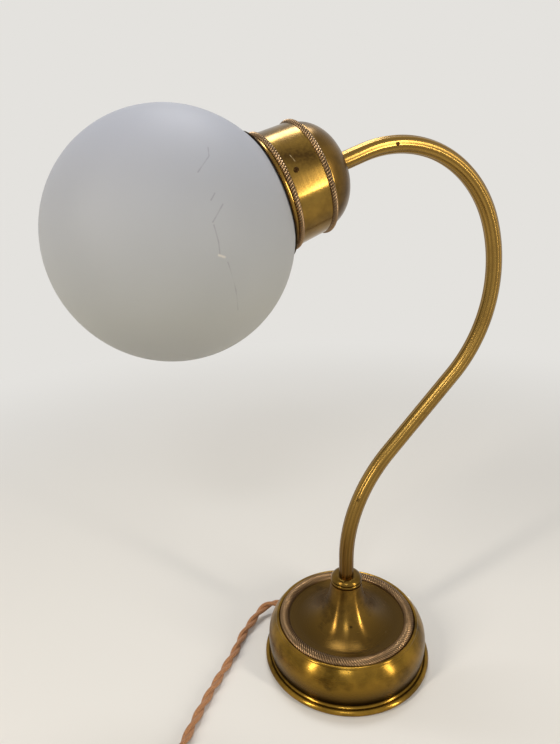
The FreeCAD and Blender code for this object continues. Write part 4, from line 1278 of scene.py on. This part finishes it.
@dataclass
class Flex:
    """The free cord: two braided cores twisted together, along one route from bush to plug."""

    diameter: float = 7.0
    core_r: float = 1.95
    core_offset: float = 1.55
    twist_mm: float = 34.0
    tie_angle: float = 200.0
    tie_width: float = 12.0
    tie_sheet: float = 0.8
    tie_corner: float = 3.5
    tie_margin: float = 3.6
    tie_turns: float = 2.5
    tie_low: float = 0.1
    step: float = 2.2
    sides: int = 12
    length: float = 1810.0
    coil_inner_r: float = 27.8
    coil_pitch: float = 7.8
    coil_layer_h: float = 7.8
    turns_down: float = 3.0
    turns_up: float = 2.75
    climb_turns: float = 0.5
    coil_lead: float = 7.0
    per_turn: int = 16
    spline_share: float = 1.019
    spline_order: int = 3
    spline_fineness: int = 12
    far_pieces: tuple[str, ...] = ("plug_body", "plug_pins", "plug_screw", "coil_tie")
    lead: tuple[Place, ...] = (
        (-34.25, 59.32, 12.0), (-37.4, 64.78, 12.0), (-43.29, 68.18, 10.8), (-51.28, 67.9, 9.0),
        (-62.73, 60.75, 6.2), (-78.66, 47.84, 3.6), (-90.0, 32.0, 3.5), (-111.0, 10.5, 3.5),
        (-131.5, -12.0, 3.5), (-151.0, -36.5, 3.5), (-172.0, -62.5, 3.5), (-191.0, -87.0, 3.5))
    tail: tuple[Place, ...] = (
        (-181.41, -167.61, 11.3), (-170.8, -176.7, 11.3), (-157.5, -184.0, 9.6), (-143.0, -187.5, 8.0),
        (-129.0, -188.0, 8.0))

    def coil_point(self, turn: float, share: float = 1.0) -> Vector:
        """A place on the coil's centre line.

        Args:
            turn: Turns from the coil's start.
            share: Scale of the radius, which makes up for how far the spline cuts inside its points.

        Returns:
            The place in the coil's own frame.
        """
        climb_end = self.turns_down + self.climb_turns
        if turn <= self.turns_down:
            radius, height = self.coil_inner_r + self.coil_pitch * (self.turns_down - turn), 0.0
        elif turn < climb_end:
            done = (turn - self.turns_down) / self.climb_turns
            radius = self.coil_inner_r - self.coil_pitch / 2 * done * (1 - done)
            height = self.coil_layer_h * (3 * done ** 2 - 2 * done ** 3)
        else:
            radius, height = self.coil_inner_r + self.coil_pitch * (turn - climb_end), self.coil_layer_h
        angle = 2 * math.pi * turn
        return Vector((radius * share * math.cos(angle), radius * share * math.sin(angle), height))

    def coil_frame(self) -> Matrix:
        """Turns and moves the coil so that it carries on the lead's last run.

        Returns:
            The coil's frame, in millimetres.
        """
        last, before = Vector(self.lead[-1]), Vector(self.lead[-2])
        small = 1e-4
        heading = (self.coil_point(small) - self.coil_point(0.0)).normalized()
        wanted = math.atan2(last.y - before.y, last.x - before.x)
        turn = Matrix.Rotation(wanted - math.atan2(heading.y, heading.x), 4, "Z")
        foot = turn @ (self.coil_point(0.0) - heading * self.coil_lead)
        return Matrix.Translation(last - foot) @ turn

    def control_points(self) -> list[Vector]:
        """The whole route's control points, from the bush to the plug.

        Returns:
            The points, in millimetres.
        """
        frame = self.coil_frame()
        total = self.turns_down + self.climb_turns + self.turns_up
        count = round(total * self.per_turn)
        coil = [frame @ self.coil_point(total * k / count, self.spline_share) for k in range(count + 1)]
        lead = [Vector(point) for point in self.lead]
        return lead[:-1] + coil + [Vector(point) for point in self.tail]

    def route(self) -> list[Vector]:
        """Points along the smooth route, a step apart, read from its spline.

        Returns:
            The points, in metres.
        """
        curve = bpy.data.curves.new("flex_route", "CURVE")
        curve.dimensions = "3D"
        spline = curve.splines.new("NURBS")
        points = self.control_points()
        spline.points.add(len(points) - 1)
        for item, place in zip(spline.points, points):
            item.co = (place.x * MM, place.y * MM, place.z * MM, 1.0)
        spline.order_u = self.spline_order
        spline.use_endpoint_u = True
        spline.resolution_u = self.spline_fineness
        holder = put("flex_route", curve)
        graph = bpy.context.evaluated_depsgraph_get()
        mesh = bpy.data.meshes.new_from_object(holder.evaluated_get(graph), depsgraph=graph)
        fine = [vertex.co.copy() for vertex in mesh.vertices]
        bpy.data.meshes.remove(mesh)
        bpy.data.objects.remove(holder)
        return self.even_steps(fine)

    def even_steps(self, fine: list[Vector]) -> list[Vector]:
        """Thins a fine line of points to one each step, keeping both ends.

        Args:
            fine: The line's points, in metres.

        Returns:
            The points that are left.
        """
        kept, gone = [fine[0]], 0.0
        step = self.step * MM
        for before, after in zip(fine, fine[1:]):
            span = (after - before).length
            while span > 0 and gone + span >= step:
                share = (step - gone) / span
                before = before.lerp(after, share)
                kept.append(before.copy())
                span = (after - before).length
                gone = 0.0
            gone += span
        kept.append(fine[-1])
        return kept

    def strands(self, path: list[Vector]) -> Mesh:
        """Two round cores twisted about the route, with a UV map of turns and millimetres.

        Args:
            path: The route's points in metres.

        Returns:
            The mesh of both cores.
        """
        ups = [Vector((0, 0, 1))]
        headings = [(b - a).normalized() for a, b in zip(path, path[1:])]
        headings.append(headings[-1])
        for before, after in zip(headings, headings[1:]):
            ups.append(before.rotation_difference(after) @ ups[-1])
        verts, faces, lays = [], [], []
        travelled = [0.0]
        for before, after in zip(path, path[1:]):
            travelled.append(travelled[-1] + (after - before).length / MM)
        for core in (0, 1):
            start = len(verts)
            for place, heading, up, gone in zip(path, headings, ups, travelled):
                up = (up - heading * up.dot(heading)).normalized()
                swing = Quaternion(heading, math.pi * core + 2 * math.pi * gone / self.twist_mm)
                out = swing @ up
                centre = place + out * (self.core_offset * MM)
                for k in range(self.sides):
                    arm = Quaternion(heading, 2 * math.pi * k / self.sides) @ out
                    verts.append(centre + arm * (self.core_r * MM))
            for ring in range(len(path) - 1):
                for k in range(self.sides):
                    a = start + ring * self.sides + k
                    b = start + ring * self.sides + (k + 1) % self.sides
                    faces.append((a, b, b + self.sides, a + self.sides))
                    lays.extend([(k, ring), (k + 1, ring), (k + 1, ring + 1), (k, ring + 1)])
            for ring in (0, len(path) - 1):
                first = start + ring * self.sides
                faces.append(tuple(range(first, first + self.sides)))
                lays.extend([(k, ring) for k in range(self.sides)])
        mesh = bpy.data.meshes.new("flex_twisted")
        mesh.from_pydata(verts, [], faces)
        layer = mesh.uv_layers.new(name="lay")
        for item, (k, ring) in zip(layer.data, lays):
            item.uv = (k / self.sides, travelled[ring])
        return settle(mesh, sharp=TUBE_SHARP)

    def tie(self) -> Mesh:
        """The woven strap round the coil's turns, pressed a little into the flex below.

        Returns:
            The mesh, in the lamp's frame.
        """
        inner = self.coil_inner_r - self.tie_margin
        outer = self.coil_inner_r + self.tie_turns * self.coil_pitch + self.tie_margin
        high, half = self.coil_layer_h + self.diameter + self.tie_sheet, self.tie_width / 2
        turn = Matrix.Rotation(math.radians(self.tie_angle), 4, "Z")
        frame = self.coil_frame() @ turn @ Matrix.Translation((0, 0, -self.lead[-1][2]))
        loops = []
        for inset in (0.0, self.tie_sheet):
            left, right, low, top = inner + inset, outer - inset, self.tie_low + inset, high - inset
            bend = self.tie_corner - inset
            cut = bend * (1 - math.sqrt(1 / 2))
            line = Outline((left + bend, low))
            # The corners in turn, each with the way from it to the strap's middle
            for x, z, in_x, in_z in ((right, low, -1, 1), (right, top, -1, -1),
                                     (left, top, 1, -1), (left, low, 1, 1)):
                ends = [(x + in_x * bend, z), (x, z + in_z * bend)][::-in_x * in_z]
                line.line(ends[0]).arc((x + in_x * cut, z + in_z * cut), ends[1], step=20)
            loops.append(line.points[:-1])
        count = len(loops[0])
        verts = [frame @ Vector((r, side, z)) * MM for side in (-half, half) for loop in loops for r, z in loop]
        faces = [tuple(row * count + place for row, place in ((near, k), (near, after), (far, after), (far, k)))
                 for near, far in ((0, 1), (1, 3), (3, 2), (2, 0))
                 for k, after in ((k, (k + 1) % count) for k in range(count))]
        mesh = bpy.data.meshes.new("coil_tie")
        mesh.from_pydata(verts, [], faces)
        return settle(mesh)

    def dress(self, finishes: Finishes) -> None:
        """Args:
            finishes: The lamp's materials.
        """
        place_piece("coil_tie", self.tie(), finishes.by_slot["tie_fabric"])
        path = self.route()
        piece = place_piece("flex_twisted", self.strands(path), finishes.cotton,
                            ("cord_lead", "cord_coil", "cord_tail"))
        length = sum((b - a).length for a, b in zip(path, path[1:]))
        LOG.info("cord length along its route: %.1f mm", length / MM)


@dataclass(frozen=True)
class SoftLamp:
    """A soft rectangular lamp, which hangs round the part at a set reach and faces it."""

    name: str
    azimuth: float
    rise: float
    size_m: Point
    power: float
    colour: str = "#ffffff"
    reach_m: float = 1.5
    aim_m: Place = (0.0, 0.0, 0.15)

    def hang(self) -> None:
        """Puts the lamp in the scene."""
        data = bpy.data.lights.new(self.name, "AREA")
        data.shape = "RECTANGLE"
        data.size, data.size_y = self.size_m
        data.energy, data.color = self.power, linear(self.colour)[:3]
        turn, lift = math.radians(self.azimuth), math.radians(self.rise)
        out = Vector((math.cos(turn) * math.cos(lift), math.sin(turn) * math.cos(lift), math.sin(lift)))
        place = Matrix.Translation(Vector(self.aim_m) + out * self.reach_m)
        put(self.name, data).matrix_world = place @ out.to_track_quat("Z", "Y").to_matrix().to_4x4()


@dataclass
class Stage:
    """The camera at the photograph's angle, soft lamps, a pale floor and a pale world."""

    place: Place = (-192.3, -366.5, 393.8)
    forward: Place = (0.3378, 0.8855, -0.3191)
    above: Place = (0.1450, 0.2861, 0.9472)
    focal_px: float = 594.68
    image_w: float = 560.0
    sensor_w: float = 36.0
    clip_m: Point = (0.01, 50.0)
    floor_m: float = 12.0
    under: float = 0.3  # keeps the floor clear of the felt's underside
    pale: str = "#e4e2de"
    near_m: float = 0.3
    far_m: float = 1.0
    room_light: float = 0.36
    lamps: tuple[SoftLamp, ...] = (
        SoftLamp("overhead", 64.0, 70.0, (0.5, 0.35), 8.0),
        SoftLamp("left_warm", -165.0, 30.0, (0.12, 0.9), 10.0, "#fff6e8"),
        SoftLamp("right_warm", -58.0, 18.0, (0.12, 0.9), 10.0, "#fff6e8"),
        SoftLamp("front_soft", -118.0, 43.0, (0.3, 0.12), 3.0))

    def camera(self) -> None:
        """Makes the camera and sets it as the scene's."""
        data = bpy.data.cameras.new("camera")
        data.sensor_fit = "HORIZONTAL"
        data.sensor_width = self.sensor_w
        data.lens = self.focal_px / self.image_w * self.sensor_w
        data.clip_start, data.clip_end = self.clip_m
        camera = put("camera", data)
        back = -Vector(self.forward).normalized()
        right = Vector(self.above).cross(back).normalized()
        turn = Matrix((right, back.cross(right), back)).transposed().to_4x4()
        camera.matrix_world = Matrix.Translation(Vector(self.place) * MM) @ turn
        bpy.context.scene.camera = camera

    def seen(self, tree: Tree) -> Link:
        """One where the ray comes from the camera, a reflection or a transmission.

        Args:
            tree: The node tree of a world or a material.

        Returns:
            The mask.
        """
        rays = add(tree, "LightPath").outputs
        return largest(tree, [rays[f"Is {kind} Ray"] for kind in ("Camera", "Glossy", "Transmission")])

    def world(self) -> None:
        """A pale world that lights softly."""
        world = bpy.data.worlds.new("pale_room")
        bpy.context.scene.world = world
        world.use_nodes = True
        tree = world.node_tree
        tree.nodes.clear()
        strength = add(tree, "MapRange", {"Value": self.seen(tree), "To Min": self.room_light, "To Max": 1.0})
        light = add(tree, "Background", {"Color": self.pale, "Strength": strength})
        add(tree, "OutputWorld", {0: light})

    def floor(self) -> None:
        """A wide pale floor that fades into the room's colour far from the lamp, so that no edge shows."""
        half, low = self.floor_m / 2, -self.under * MM
        mesh = bpy.data.meshes.new("floor")
        corners = [(-half, -half, low), (half, -half, low), (half, half, low), (-half, half, low)]
        mesh.from_pydata(corners, [], [(0, 1, 2, 3)])
        material, tree = new_material("floor_paper")
        place = add(tree, "TexCoord").outputs["Object"]
        grain = add(tree, "TexNoise", {"Vector": place, "Scale": 600.0, "Detail": 2.0})
        bump = add(tree, "Bump", {"Height": grain, "Strength": 0.05, "Distance": 0.1 * MM})
        paper = add(tree, "BsdfPrincipled", {"Base Color": self.pale, "Roughness": 0.9, "Normal": bump})
        away = add(tree, "VectorMath", {0: place}, operation="LENGTH")
        far = add(tree, "MapRange", {"Value": away, "From Min": self.near_m, "From Max": self.far_m},
                  interpolation_type="SMOOTHSTEP")
        share = add(tree, "Math", {0: far, 1: self.seen(tree)}, operation="MULTIPLY")
        glow = add(tree, "Emission", {"Color": self.pale, "Strength": 1.0})
        both = add(tree, "MixShader", {0: share, 1: paper, 2: glow})
        add(tree, "OutputMaterial", {"Surface": both})
        mesh.materials.append(material)
        put("floor", mesh)

    def set_up(self) -> None:
        """Makes the whole stage."""
        self.camera()
        self.world()
        self.floor()
        for lamp in self.lamps:
            lamp.hang()
        bpy.context.scene.view_settings.view_transform = "Standard"


def dress_frame_nodes(frame: dict[str, Any], finishes: Finishes) -> None:
    """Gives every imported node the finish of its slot.

    Args:
        finishes: The lamp's materials.
    """
    slots = {part["node"]: part["material_slot"] for part in frame["record"]["subparts"]}
    for name, node in frame["nodes"].items():
        material = finishes.by_slot[slots[name]]
        node.data.materials.clear()
        node.data.materials.append(material)
        LOG.info("node %s takes %s", name, material.name)


def main() -> None:
    """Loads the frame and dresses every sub-assembly."""
    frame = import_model()
    finishes = Finishes()
    dress_frame_nodes(frame, finishes)
    Stage().set_up()
    rope = rope_bead_tree()
    Flex().dress(finishes)
    Base().dress(finishes, rope)
    Stem().dress(finishes)
    Head().dress(finishes, rope)
    Switch().dress(frame["nodes"]["switch_spring"], finishes)


if __name__ == "__main__":
    logging.basicConfig(level=logging.INFO)
    main()
